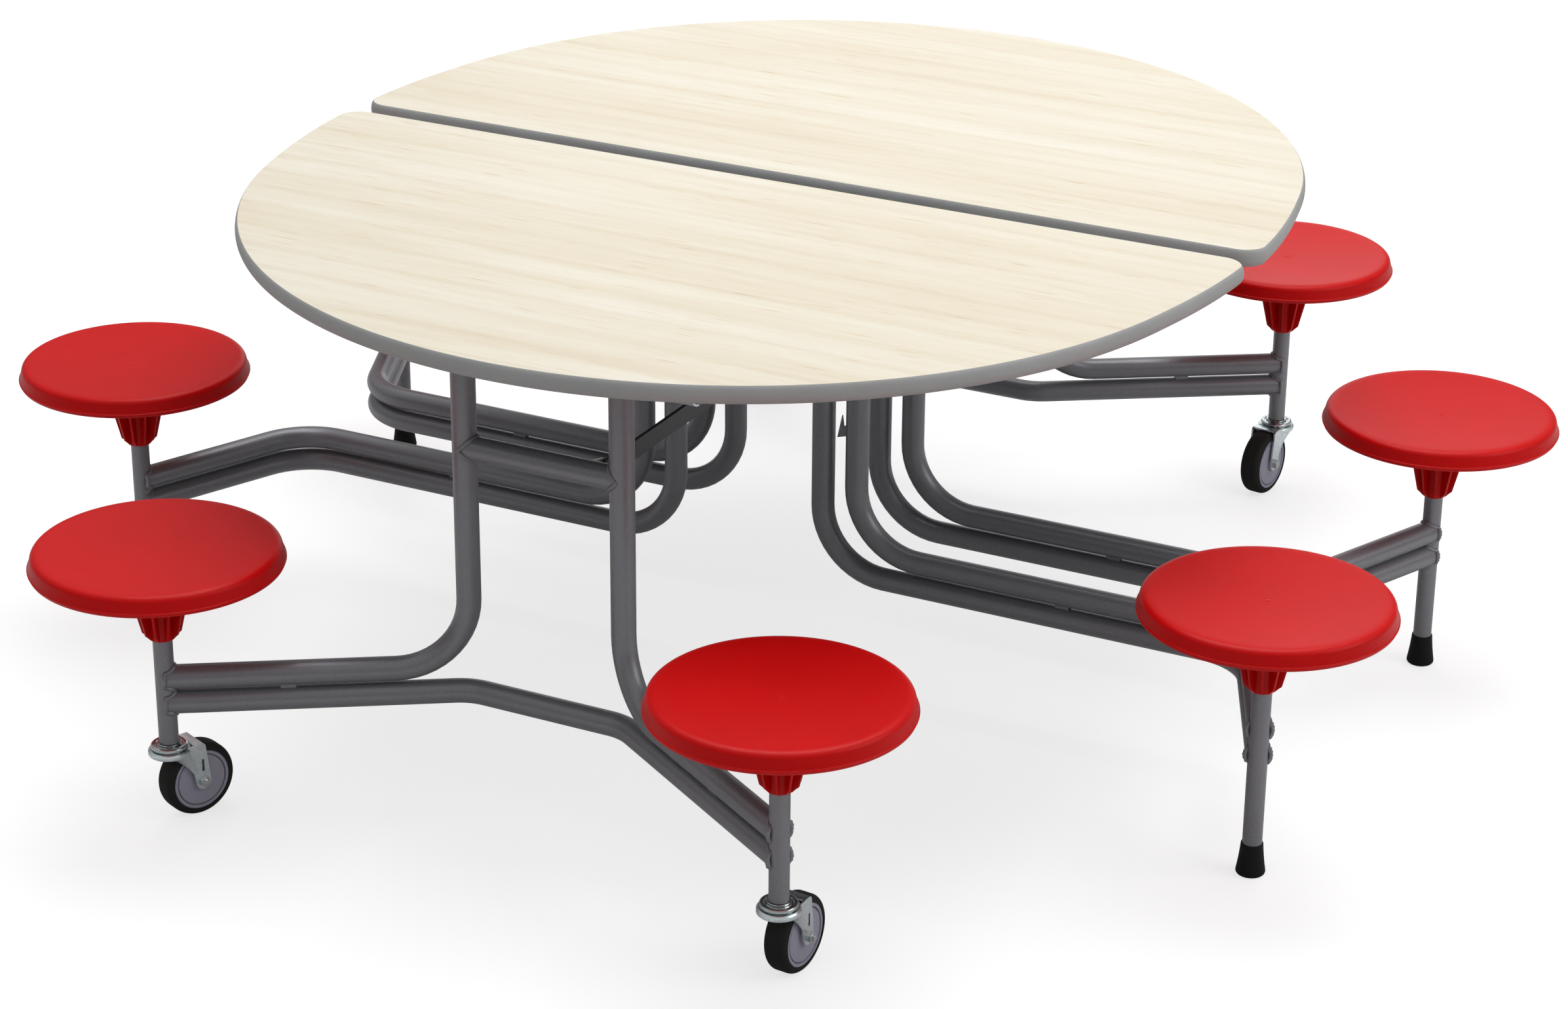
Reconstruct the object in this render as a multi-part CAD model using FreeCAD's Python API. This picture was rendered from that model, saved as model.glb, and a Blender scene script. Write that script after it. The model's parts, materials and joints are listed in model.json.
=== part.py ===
# Mobile folding table: two half tops on hinged tube frames that carry eight fixed stools.
# Millimetres, +Z up, origin on the floor below the middle of the table.
# The tops part along X; the front half lies towards -Y.
import FreeCAD, Part
import math
import os

from FreeCAD import Rotation, Vector

# Tops
TOP_HEIGHT = 690.0
TOP_THICKNESS = 25.0
TOP_RADIUS = 672.0
TOP_ARC_OFFSET = 117.0
TOP_SPLIT_GAP = 21.0
TOP_CORNER_RADIUS = 30.0
EDGING_WIDTH = 9.0
EDGING_ROUND = 7.0

# Stool positions, from the middle of the table
CASTOR_STOOL_X = 440.0
CASTOR_STOOL_Y = 859.0
FOOT_STOOL_X = 849.0
FOOT_STOOL_Y = 345.0

# Seats, with the ribbed hub that takes the post
SEAT_HEIGHT = 385.0
SEAT_RIM_RADIUS = 158.0
SEAT_LIP_RADIUS = 162.0
SEAT_DEPTH = 25.0
SEAT_LIP_HEIGHT = 3.0
SEAT_RIM_ROUND = 9.0
SEAT_RIM_LEAD = 14.4
SEAT_LIP_STEP = 1.0
SEAT_DISH = 6.0
SEAT_WALL = 4.0
HUB_LENGTH = 102.0
HUB_WALL = 4.0
HUB_RIB_TOP_RADIUS = 51.0
HUB_RIB_FOOT_RADIUS = 25.0
HUB_RIB_STEP = 9.0
HUB_RIB_THICKNESS = 3.2
HUB_RIB_COUNT = 10

# Tubes and posts
TUBE_DIAMETER = 32.0
TUBE_WALL = 2.0
POST_DIAMETER = 25.4
POST_WALL = 2.0
BEND_RADIUS = 95.0
CORNER_BEND_RADIUS = 70.0
ARM_LOWER_HEIGHT = 168.0
ARM_TWIN_GAP = 3.0
COPE_SETBACK = 3.0
SPACER_LENGTH = 12.0
SPACER_THICKNESS = 6.0
OUTER_SPACER_SHARE = 0.6
CENTRE_SPACER_SHARE = 0.45

# Outer frames, which roll on castors, set in from the round edge of the tops
OUTER_FRAME_INSET = 141.0
OUTER_UPRIGHT_X = 113.0
CROSS_TUBE_HEIGHT = 508.0

# Centre frame, which stands on rubber feet
CENTRE_FRAME_Y = 90.5
CENTRE_INNER_UPRIGHT_X = 115.0
CENTRE_UPRIGHT_PITCH = 51.0
CENTRE_CORNER_X = 740.0
CATCH_HEIGHT = 383.0
CATCH_WIDTH = 28.0
CATCH_LENGTH = 34.0
CATCH_THICKNESS = 4.0

# Fold pivots under the tops
PIVOT_DROP = 20.0
PIVOT_HALF_LENGTH = 225.0
END_PLATE_THICKNESS = 5.0
END_PLATE_WIDTH = 34.0
SADDLE_INNER_X = 40.0
SADDLE_OUTER_X = 205.0
SADDLE_WIDTH = 30.0
SADDLE_STRAP = 3.0
SADDLE_FOOT = 24.0
SCREW_DIAMETER = 5.0
SCREW_DEPTH = 14.0
SCREW_HEAD_DIAMETER = 11.0
SCREW_HEAD_HEIGHT = 3.5

# Link bars that keep the frames upright while the table folds
LINK_X = 70.0
LINK_DROP = 8.0
LINK_INSET = 34.0
LINK_DEPTH = 25.0
LINK_THICKNESS = 5.0
LUG_WIDTH = 28.0
LUG_THICKNESS = 5.0
LUG_SIDE_GAP = 0.5
LINK_BOLT_DIAMETER = 10.0
LINK_BOLT_HEAD = 16.0
LINK_BOLT_HEAD_HEIGHT = 5.5

# Castors
WHEEL_DIAMETER = 100.0
WHEEL_WIDTH = 32.0
WHEEL_SHOULDER = 9.0
WHEEL_HUB_DIAMETER = 81.0
WHEEL_HUB_RECESS = 1.5
WHEEL_HUB_GROOVE_DIAMETER = 70.0
WHEEL_HUB_GROOVE = 1.2
WHEEL_BOSS_DIAMETER = 20.0
CASTOR_TRAIL = 36.0
FORK_SIDE_GAP = 2.0
FORK_PLATE = 2.5
FORK_WHEEL_GAP = 1.5
FORK_CROWN_BOTTOM = 94.5
FORK_CROWN_HEIGHT = 8.0
FORK_CROWN_DIAMETER = 55.0
FORK_NOSE_RADIUS = 11.0
FORK_LEG_REACH = 5.0
FORK_LEG_CORNER = 3.0
FORK_LEG_OVERLAP = 3.0
FORK_WEB_FRONT = 26.0
FORK_FLARE_LEAD = 17.0
FORK_FLARE_SHAPE = 0.6
FORK_FLARE_INSET = 0.4
FORK_FLARE_LEVELS = 4
FORK_SLOT_WIDTH = 3.5
FORK_SLOT_LENGTH = 17.0
FORK_SLOT_HEIGHT = 73.0
KING_PIN_DIAMETER = 10.0
KING_PIN_LENGTH = 28.0
RACE_DIAMETER = 48.0
RACE_HEIGHT = 6.0
RACE_EDGE = 1.5
RACE_UNDERCUT = 1.5
RACE_OVERHANG = 3.0
RACE_COLLAR_DIAMETER = 31.0
RACE_COLLAR_HEIGHT = 2.5
RACE_PLUG_LENGTH = 30.0
AXLE_DIAMETER = 8.0
AXLE_HEX = 13.0
AXLE_HEX_HEIGHT = 6.0
AXLE_TAIL = 3.0
CASTOR_HEADINGS = {"front_left": 66.7, "front_right": 84.7, "rear_right": -98.3, "rear_left": -74.0}

# Rubber feet
FOOT_HEIGHT = 44.0
FOOT_FLOOR = 8.0
FOOT_TOP_DIAMETER = 28.5
FOOT_BOTTOM_DIAMETER = 38.0
FOOT_EDGE = 3.0

# Clearances
WELD_GAP = 0.02
SEAT_GAP = 0.05
RUNNING_GAP = 0.05
SADDLE_GAP = 0.2
FACE_GAP = 0.3

# Levels and places that follow from the sizes above
TOP_UNDERSIDE = TOP_HEIGHT - TOP_THICKNESS
PIVOT_HEIGHT = TOP_UNDERSIDE - PIVOT_DROP
OUTER_FRAME_Y = TOP_ARC_OFFSET + TOP_RADIUS - OUTER_FRAME_INSET
ARM_UPPER_HEIGHT = ARM_LOWER_HEIGHT + TUBE_DIAMETER + ARM_TWIN_GAP
LINK_HEIGHT = CROSS_TUBE_HEIGHT - LINK_DROP
CENTRE_OUTER_UPRIGHT_X = CENTRE_INNER_UPRIGHT_X + CENTRE_UPRIGHT_PITCH
SEAT_UNDERSIDE = SEAT_HEIGHT - SEAT_DISH - SEAT_WALL
HUB_BOTTOM = SEAT_HEIGHT - SEAT_DEPTH - HUB_LENGTH
POST_TOP = SEAT_UNDERSIDE - SEAT_GAP
FORK_CROWN_TOP = FORK_CROWN_BOTTOM + FORK_CROWN_HEIGHT
RACE_BOTTOM = FORK_CROWN_TOP + FACE_GAP
CASTOR_POST_BOTTOM = RACE_BOTTOM + RACE_HEIGHT + RACE_COLLAR_HEIGHT
TUBE_RADIUS = TUBE_DIAMETER / 2
POST_RADIUS = POST_DIAMETER / 2
WHEEL_RADIUS = WHEEL_DIAMETER / 2
AXLE_RADIUS = AXLE_DIAMETER / 2
LEG_INNER = WHEEL_WIDTH / 2 + FORK_SIDE_GAP
LEG_OUTER = LEG_INNER + FORK_PLATE
WEB_BOTTOM = WHEEL_DIAMETER + FORK_WHEEL_GAP
WEB_TOP = WEB_BOTTOM + FORK_PLATE
LUG_OUTER_X = LINK_X - LINK_THICKNESS / 2 - LUG_SIDE_GAP

# How far the middle of a quarter round lies inside its corner, for a radius of one
ROUND_MIDDLE = 1 - math.sqrt(0.5)

X_AXIS = Vector(1, 0, 0)
Y_AXIS = Vector(0, 1, 0)
Z_AXIS = Vector(0, 0, 1)


# Helpers
def save(name, *solids):
    """Write one node: a solid, or a group of separate solids."""
    shape = solids[0] if len(solids) == 1 else Part.makeCompound(list(solids))
    shape.exportStep(f"parts/{name}.step")


def turned(shape, degrees, centre=Vector(0, 0, 0), axis=Z_AXIS):
    """Return a copy of a shape turned about an axis."""
    copy = shape.copy()
    copy.rotate(centre, axis, degrees)
    return copy


def moved(shape, x, y, z=0.0):
    """Return a copy of a shape moved by x, y and z."""
    copy = shape.copy()
    copy.translate(Vector(x, y, z))
    return copy


def mirrored_x(shape):
    """Return the mirror image of a shape across the YZ plane."""
    return shape.mirror(Vector(0, 0, 0), X_AXIS)


def opposite(shape):
    """Return the shape's twin on the other half of the table."""
    return turned(shape, 180)


def main_solid(shape):
    """Return the largest solid of a cut, without its offcuts."""
    return max(shape.Solids, key=lambda solid: solid.Volume)


def rod(diameter, start, end):
    """Make a solid round bar between two points."""
    return Part.makeCylinder(diameter / 2, (end - start).Length, start, end - start)


def closed_face(*curves):
    """Make a face from curves given in order round its edge."""
    return Part.Face(Part.Wire([curve.toShape() for curve in curves]))


def outline(points):
    """Make a face from straight lines through points."""
    return Part.Face(Part.makePolygon(points + [points[0]]))


def revolved(points):
    """Turn a profile of (radius, height) points round the Z axis."""
    profile = outline([Vector(radius, 0, height) for radius, height in points])
    return profile.revolve(Vector(0, 0, 0), Z_AXIS, 360)


def bent_path(points, radii):
    """Make a wire of straight runs through points, with a tangent arc at each corner."""
    edges = []
    start = points[0]
    for before, corner, after, radius in zip(points, points[1:], points[2:], radii):
        incoming = (corner - before).normalize()
        outgoing = (after - corner).normalize()
        turn = incoming.getAngle(outgoing)
        reach = radius * math.tan(turn / 2)
        arc_start = corner - incoming * reach
        arc_end = corner + outgoing * reach
        inwards = (outgoing - incoming).normalize()
        arc_middle = corner + inwards * (radius / math.cos(turn / 2) - radius)
        edges.append(Part.LineSegment(start, arc_start).toShape())
        edges.append(Part.Arc(arc_start, arc_middle, arc_end).toShape())
        start = arc_end
    edges.append(Part.LineSegment(start, points[-1]).toShape())
    return Part.Wire(edges)


def bent_bar(points, radii, diameter):
    """Sweep a round section along a bent path."""
    path = bent_path(points, radii)
    section = Part.Wire(Part.Circle(points[0], points[1] - points[0], diameter / 2).toShape())
    return path.makePipeShell([section], True, False)


def frame_tube(points, radii, *copes):
    """Make a hollow frame tube whose ends are coped to the bars that it meets."""
    outside = bent_bar(points, radii, TUBE_DIAMETER)
    inside = bent_bar(points, radii, TUBE_DIAMETER - 2 * TUBE_WALL)
    tube = outside.cut(inside)
    for cope in copes:
        tube = main_solid(tube.cut(cope))
    return tube


def short_of(start, end, setback):
    """Return the point that lies a setback before the end of a run."""
    return end - (end - start).normalize() * setback


# Tops
def half_outline(inset):
    """Make the front half's outline, a segment of a disc with rounded corners."""
    radius = TOP_RADIUS - inset
    corner = TOP_CORNER_RADIUS - inset
    edge_y = -TOP_SPLIT_GAP / 2 - inset
    centre = Vector(0, -TOP_ARC_OFFSET, 0)
    rise = edge_y - corner + TOP_ARC_OFFSET
    corner_x = math.sqrt((radius - corner) ** 2 - rise ** 2)
    right = Vector(corner_x, edge_y - corner, 0)
    left = Vector(-corner_x, edge_y - corner, 0)
    outward = (right - centre).normalize()
    arc_right = centre + outward * radius
    arc_left = Vector(-arc_right.x, arc_right.y, 0)
    bisector = (outward + Y_AXIS).normalize() * corner
    line_right = Vector(corner_x, edge_y, 0)
    line_left = Vector(-corner_x, edge_y, 0)
    return closed_face(
        Part.LineSegment(line_left, line_right),
        Part.Arc(line_right, right + bisector, arc_right),
        Part.Arc(arc_right, Vector(0, -TOP_ARC_OFFSET - radius, 0), arc_left),
        Part.Arc(arc_left, left + Vector(-bisector.x, bisector.y, 0), line_left),
    )


def screw_places():
    """List the screw positions of the front top's saddles."""
    reach = TUBE_RADIUS + SADDLE_GAP + SADDLE_STRAP + SADDLE_FOOT / 2
    places = []
    for x in saddle_places():
        for pivot_y in (-OUTER_FRAME_Y, -CENTRE_FRAME_Y):
            for side in (-1, 1):
                places.append(Vector(x, pivot_y + side * reach, TOP_UNDERSIDE))
    return places


def saddle_places():
    """List the saddles' places along a pivot tube."""
    return (-SADDLE_OUTER_X, -SADDLE_INNER_X, SADDLE_INNER_X, SADDLE_OUTER_X)


def top_board():
    """Make the laminate board with its pilot holes."""
    board = half_outline(EDGING_WIDTH).extrude(Z_AXIS * TOP_THICKNESS)
    board.translate(Z_AXIS * TOP_UNDERSIDE)
    for place in screw_places():
        board = board.cut(Part.makeCylinder(SCREW_DIAMETER / 2 + WELD_GAP, SCREW_DEPTH, place))
    return board


def top_edging():
    """Make the moulded edging, rounded along its outer edges."""
    band = half_outline(0).cut(half_outline(EDGING_WIDTH)).extrude(Z_AXIS * TOP_THICKNESS)
    outer_length = half_outline(0).OuterWire.Length
    faces = [face for face in band.Faces if abs(face.normalAt(0, 0).z) > 0.99]
    rims = [face.OuterWire for face in faces if abs(face.OuterWire.Length - outer_length) < 1]
    edges = [edge for rim in rims for edge in rim.Edges]
    rounded = band.Solids[0].makeFillet(EDGING_ROUND, edges)
    return moved(main_solid(rounded), 0, 0, TOP_UNDERSIDE)


def saddle(x, pivot_y):
    """Make a strap that hangs from the top and turns on a pivot tube."""
    inner = TUBE_RADIUS + SADDLE_GAP
    outer = inner + SADDLE_STRAP
    start = Vector(x - SADDLE_WIDTH / 2, pivot_y, PIVOT_HEIGHT)
    box_start = start - Y_AXIS * outer
    body = Part.makeCylinder(outer, SADDLE_WIDTH, start, X_AXIS)
    body = body.fuse(Part.makeBox(SADDLE_WIDTH, 2 * outer, PIVOT_DROP, box_start))
    foot_start = start + Vector(0, -outer - SADDLE_FOOT, PIVOT_DROP - SADDLE_STRAP)
    body = body.fuse(Part.makeBox(SADDLE_WIDTH, 2 * (outer + SADDLE_FOOT), SADDLE_STRAP, foot_start))
    body = body.cut(Part.makeCylinder(inner, SADDLE_WIDTH, start, X_AXIS))
    body = body.cut(Part.makeBox(SADDLE_WIDTH, 2 * inner, PIVOT_DROP, start - Y_AXIS * inner))
    for side in (-1, 1):
        hole = start + Vector(SADDLE_WIDTH / 2, side * (outer + SADDLE_FOOT / 2), 0)
        body = body.cut(Part.makeCylinder(SCREW_DIAMETER / 2 + WELD_GAP, PIVOT_DROP, hole))
    return main_solid(body.removeSplitter())


def saddle_screw(place):
    """Make a round-headed screw that holds a saddle to the board."""
    face = -SADDLE_STRAP
    crown = face - SCREW_HEAD_HEIGHT
    head_radius = SCREW_HEAD_DIAMETER / 2
    shank_radius = SCREW_DIAMETER / 2
    screw = revolved([
        (0, SCREW_DEPTH),
        (shank_radius, SCREW_DEPTH),
        (shank_radius, face),
        (head_radius, face),
        (head_radius * 0.8, face - SCREW_HEAD_HEIGHT * 0.7),
        (head_radius * 0.4, crown),
        (0, crown),
    ])
    return moved(screw, place.x, place.y, place.z)


# Stools
def seat():
    """Make a dished seat whose hub has ribs and a socket for the post, at the origin."""
    rim_start = SEAT_RIM_RADIUS - SEAT_RIM_LEAD
    rim_end = SEAT_HEIGHT - SEAT_RIM_ROUND
    lip_top = SEAT_HEIGHT - SEAT_DEPTH + SEAT_LIP_HEIGHT
    seat_bottom = SEAT_HEIGHT - SEAT_DEPTH
    inner_rim = SEAT_RIM_RADIUS - SEAT_WALL
    inner_lip = SEAT_LIP_RADIUS - SEAT_WALL
    lip_start = SEAT_LIP_RADIUS - SEAT_LIP_STEP
    dish_middle = rim_start / 2

    def point(radius, height):
        return Vector(radius, 0, height)

    def dished(radius, drop):
        return point(radius, SEAT_HEIGHT - SEAT_DISH * (1 - (radius / rim_start) ** 2) - drop)

    rim_inset = ROUND_MIDDLE * SEAT_RIM_ROUND
    rim_middle = point(SEAT_RIM_RADIUS - rim_inset, SEAT_HEIGHT - rim_inset)
    inside_start = rim_start - SEAT_WALL
    shell = closed_face(
        Part.Arc(dished(0, 0), dished(dish_middle, 0), dished(rim_start, 0)),
        Part.Arc(dished(rim_start, 0), rim_middle, point(SEAT_RIM_RADIUS, rim_end)),
        Part.LineSegment(point(SEAT_RIM_RADIUS, rim_end), point(lip_start, lip_top)),
        Part.LineSegment(point(lip_start, lip_top), point(SEAT_LIP_RADIUS, lip_top)),
        Part.LineSegment(point(SEAT_LIP_RADIUS, lip_top), point(SEAT_LIP_RADIUS, seat_bottom)),
        Part.LineSegment(point(SEAT_LIP_RADIUS, seat_bottom), point(inner_lip, seat_bottom)),
        Part.LineSegment(point(inner_lip, seat_bottom), point(inner_rim, rim_end)),
        Part.LineSegment(point(inner_rim, rim_end), dished(inside_start, SEAT_WALL)),
        Part.Arc(dished(inside_start, SEAT_WALL), dished(inside_start / 2, SEAT_WALL), dished(0, SEAT_WALL)),
        Part.LineSegment(dished(0, SEAT_WALL), dished(0, 0)),
    ).revolve(Vector(0, 0, 0), Z_AXIS, 360)
    hub_top = SEAT_HEIGHT - SEAT_DISH - SEAT_WALL / 2
    hub_radius = POST_RADIUS + HUB_WALL
    hub = Part.makeCylinder(hub_radius, hub_top - HUB_BOTTOM, Vector(0, 0, HUB_BOTTOM))
    rib = outline([
        point(0, hub_top),
        point(HUB_RIB_TOP_RADIUS, hub_top),
        point(HUB_RIB_FOOT_RADIUS, HUB_BOTTOM + HUB_RIB_STEP),
        point(HUB_RIB_FOOT_RADIUS - HUB_RIB_STEP / 3, HUB_BOTTOM + HUB_RIB_STEP * 0.7),
        point(hub_radius, HUB_BOTTOM),
        point(0, HUB_BOTTOM),
    ]).extrude(Y_AXIS * HUB_RIB_THICKNESS)
    rib.translate(Y_AXIS * (-HUB_RIB_THICKNESS / 2))
    ribs = [turned(rib, 360 * index / HUB_RIB_COUNT) for index in range(HUB_RIB_COUNT)]
    socket_height = POST_TOP + SEAT_GAP - HUB_BOTTOM
    socket = Part.makeCylinder(POST_RADIUS + SEAT_GAP, socket_height, Vector(0, 0, HUB_BOTTOM))
    return main_solid(shell.fuse([hub] + ribs).cut(socket))


def post(x, y, bottom):
    """Make a stool post from its castor or foot to the seat."""
    start = Vector(x, y, bottom)
    length = POST_TOP - bottom
    outside = Part.makeCylinder(POST_RADIUS, length, start)
    return outside.cut(Part.makeCylinder(POST_RADIUS - POST_WALL, length, start))


def post_cope(x, y):
    """Make the cutter that copes an arm to a post."""
    return Part.makeCylinder(POST_RADIUS + WELD_GAP, SEAT_HEIGHT, Vector(x, y, 0))


def rubber_foot(x, y):
    """Make the flared rubber foot that caps a post."""
    bottom = FOOT_BOTTOM_DIAMETER / 2
    foot = revolved([
        (0, 0),
        (bottom - FOOT_EDGE, 0),
        (bottom - FOOT_EDGE * 0.3, FOOT_EDGE * 0.3),
        (bottom, FOOT_EDGE),
        (bottom, 2 * FOOT_EDGE),
        (FOOT_TOP_DIAMETER / 2, FOOT_HEIGHT),
        (POST_RADIUS + WELD_GAP, FOOT_HEIGHT),
        (POST_RADIUS + WELD_GAP, FOOT_FLOOR),
        (0, FOOT_FLOOR),
    ])
    return moved(foot, x, y)


# Pivot tubes and the parts that hang on them
def pivot_bar(y, diameter):
    """Make a round bar on a fold axis, as long as the pivot tube."""
    start = Vector(-PIVOT_HALF_LENGTH, y, PIVOT_HEIGHT)
    return rod(diameter, start, Vector(PIVOT_HALF_LENGTH, y, PIVOT_HEIGHT))


def pivot_tube(y):
    """Make a hollow pivot tube."""
    return pivot_bar(y, TUBE_DIAMETER).cut(pivot_bar(y, TUBE_DIAMETER - 2 * TUBE_WALL))


def pivot_cope(y):
    """Make the cutter that copes an upright to a pivot tube."""
    return pivot_bar(y, TUBE_DIAMETER + 2 * WELD_GAP)


def end_plate():
    """Make the plate that joins the right ends of the two centre pivot tubes."""
    radius = END_PLATE_WIDTH / 2
    start = Vector(PIVOT_HALF_LENGTH, -CENTRE_FRAME_Y, PIVOT_HEIGHT)
    plate = Part.makeBox(END_PLATE_THICKNESS, 2 * CENTRE_FRAME_Y, END_PLATE_WIDTH, start - Z_AXIS * radius)
    for side in (-1, 1):
        centre = Vector(PIVOT_HALF_LENGTH, side * CENTRE_FRAME_Y, PIVOT_HEIGHT)
        plate = plate.fuse(Part.makeCylinder(radius, END_PLATE_THICKNESS, centre, X_AXIS))
    return main_solid(plate.removeSplitter())


def flat_bar(x, thickness, width, start, end):
    """Make a flat bar with round ends, standing in a YZ plane between two (y, z) points."""
    first = Vector(x, start[0], start[1])
    last = Vector(x, end[0], end[1])
    side = X_AXIS.cross((last - first).normalize()) * (width / 2)
    bar = outline([first + side, last + side, last - side, first - side]).extrude(X_AXIS * thickness)
    for centre in (first, last):
        bar = bar.fuse(Part.makeCylinder(width / 2, thickness, centre, X_AXIS))
    return main_solid(bar.removeSplitter())


def link_hole(y, diameter):
    """Make the cutter for a link pivot's hole."""
    start = Vector(0, y, LINK_HEIGHT)
    return rod(diameter, start, Vector(2 * LINK_X, y, LINK_HEIGHT))


def link_lug(pivot_y, carrier_y, carrier_z):
    """Make a lug from the tube that carries it to a link pivot."""
    lug_x = LUG_OUTER_X - LUG_THICKNESS
    lug = flat_bar(lug_x, LUG_THICKNESS, LUG_WIDTH, (carrier_y, carrier_z), (pivot_y, LINK_HEIGHT))
    lug = lug.cut(link_hole(pivot_y, LINK_BOLT_DIAMETER + 2 * RUNNING_GAP))
    start = Vector(0, carrier_y, carrier_z)
    carrier = rod(TUBE_DIAMETER + 2 * WELD_GAP, start, Vector(2 * LINK_X, carrier_y, carrier_z))
    pieces = lug.cut(carrier).Solids
    return min(pieces, key=lambda solid: abs(solid.CenterOfMass.y - pivot_y))


def link_pivots():
    """Return the outer and inner pivot of the front link along Y."""
    return -OUTER_FRAME_Y + LINK_INSET, -CENTRE_FRAME_Y + LINK_INSET


def link_bar():
    """Make the front link bar."""
    outer_y, inner_y = link_pivots()
    ends = (outer_y, LINK_HEIGHT), (inner_y, LINK_HEIGHT)
    bar = flat_bar(LINK_X - LINK_THICKNESS / 2, LINK_THICKNESS, LINK_DEPTH, *ends)
    for pivot_y in (outer_y, inner_y):
        bar = bar.cut(link_hole(pivot_y, LINK_BOLT_DIAMETER + 2 * WELD_GAP))
    return bar


def hexagon(across_flats, height, centre, axis):
    """Make a hexagonal head along an axis of the YZ-facing kind."""
    radius = across_flats / math.sqrt(3)
    corners = []
    for index in range(6):
        angle = math.radians(60 * index + 30)
        corners.append(Vector(radius * math.cos(angle), radius * math.sin(angle), 0))
    head = outline(corners).extrude(Z_AXIS * height)
    head.Placement = FreeCAD.Placement(centre, Rotation(Z_AXIS, axis))
    return head


def link_bolt(pivot_y):
    """Make the bolt and nut that a link turns on."""
    link_face = LINK_X + LINK_THICKNESS / 2
    nut_face = LUG_OUTER_X - LUG_THICKNESS - FACE_GAP
    start = Vector(nut_face - LINK_BOLT_HEAD_HEIGHT, pivot_y, LINK_HEIGHT)
    shank = rod(LINK_BOLT_DIAMETER, start, Vector(link_face, pivot_y, LINK_HEIGHT))
    head = hexagon(LINK_BOLT_HEAD, LINK_BOLT_HEAD_HEIGHT, Vector(link_face, pivot_y, LINK_HEIGHT), X_AXIS)
    nut = hexagon(LINK_BOLT_HEAD, LINK_BOLT_HEAD_HEIGHT, start, X_AXIS)
    return main_solid(shank.fuse([head, nut]))


# Frames
def outer_upper_tube():
    """Make the front right tube that runs from the pivot tube down and out to its stool."""
    x, y = OUTER_UPRIGHT_X, -OUTER_FRAME_Y
    corner = Vector(x, y, ARM_UPPER_HEIGHT)
    stool = Vector(CASTOR_STOOL_X, -CASTOR_STOOL_Y, ARM_UPPER_HEIGHT)
    top = Vector(x, y, PIVOT_HEIGHT - COPE_SETBACK)
    points = [top, corner, short_of(corner, stool, COPE_SETBACK)]
    return frame_tube(points, [BEND_RADIUS], pivot_cope(y), post_cope(stool.x, stool.y))


def outer_lower_tube():
    """Make the tube that joins the two front stools under the uprights."""
    stool = Vector(CASTOR_STOOL_X, -CASTOR_STOOL_Y, ARM_LOWER_HEIGHT)
    corner = Vector(OUTER_UPRIGHT_X, -OUTER_FRAME_Y, ARM_LOWER_HEIGHT)
    end = short_of(corner, stool, COPE_SETBACK)
    points = [Vector(-end.x, end.y, end.z), Vector(-corner.x, corner.y, corner.z), corner, end]
    copes = [post_cope(side * stool.x, stool.y) for side in (-1, 1)]
    return frame_tube(points, [CORNER_BEND_RADIUS, CORNER_BEND_RADIUS], *copes)


def cross_tube():
    """Make the tube between the front uprights."""
    y = -OUTER_FRAME_Y
    reach = OUTER_UPRIGHT_X - COPE_SETBACK
    points = [Vector(-reach, y, CROSS_TUBE_HEIGHT), Vector(reach, y, CROSS_TUBE_HEIGHT)]
    copes = []
    for side in (-1, 1):
        foot = Vector(side * OUTER_UPRIGHT_X, y, 0)
        copes.append(Part.makeCylinder(TUBE_RADIUS + WELD_GAP, TOP_HEIGHT, foot))
    return frame_tube(points, [], *copes)


def centre_tube(upright_x, height):
    """Make a front right tube from the centre pivot tube down, along X and out to its stool."""
    y = -CENTRE_FRAME_Y
    stool = Vector(FOOT_STOOL_X, -FOOT_STOOL_Y, height)
    elbow = Vector(upright_x, y, height)
    corner = Vector(CENTRE_CORNER_X, y, height)
    top = Vector(upright_x, y, PIVOT_HEIGHT - COPE_SETBACK)
    points = [top, elbow, corner, short_of(corner, stool, COPE_SETBACK)]
    radii = [BEND_RADIUS, BEND_RADIUS]
    return frame_tube(points, radii, pivot_cope(y), post_cope(stool.x, stool.y))


def arm_spacer(start, end, share):
    """Make the tab that keeps twin tubes apart, part of the way along a straight run."""
    middle = start + (end - start) * share
    level = ARM_LOWER_HEIGHT + TUBE_RADIUS
    tab = Part.makeBox(SPACER_LENGTH, SPACER_THICKNESS, 2 * TUBE_RADIUS)
    tab.translate(Vector(-SPACER_LENGTH / 2, -SPACER_THICKNESS / 2, ARM_LOWER_HEIGHT))
    heading = math.degrees(math.atan2(end.y - start.y, end.x - start.x))
    tab = moved(turned(tab, heading), middle.x, middle.y)
    for height in (ARM_LOWER_HEIGHT, ARM_UPPER_HEIGHT):
        along = (end - start).normalize() * SPACER_LENGTH
        axis_point = Vector(middle.x, middle.y, height)
        tab = tab.cut(rod(TUBE_DIAMETER + 2 * WELD_GAP, axis_point - along, axis_point + along))
    return min(tab.Solids, key=lambda solid: abs(solid.CenterOfMass.z - level))


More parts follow.
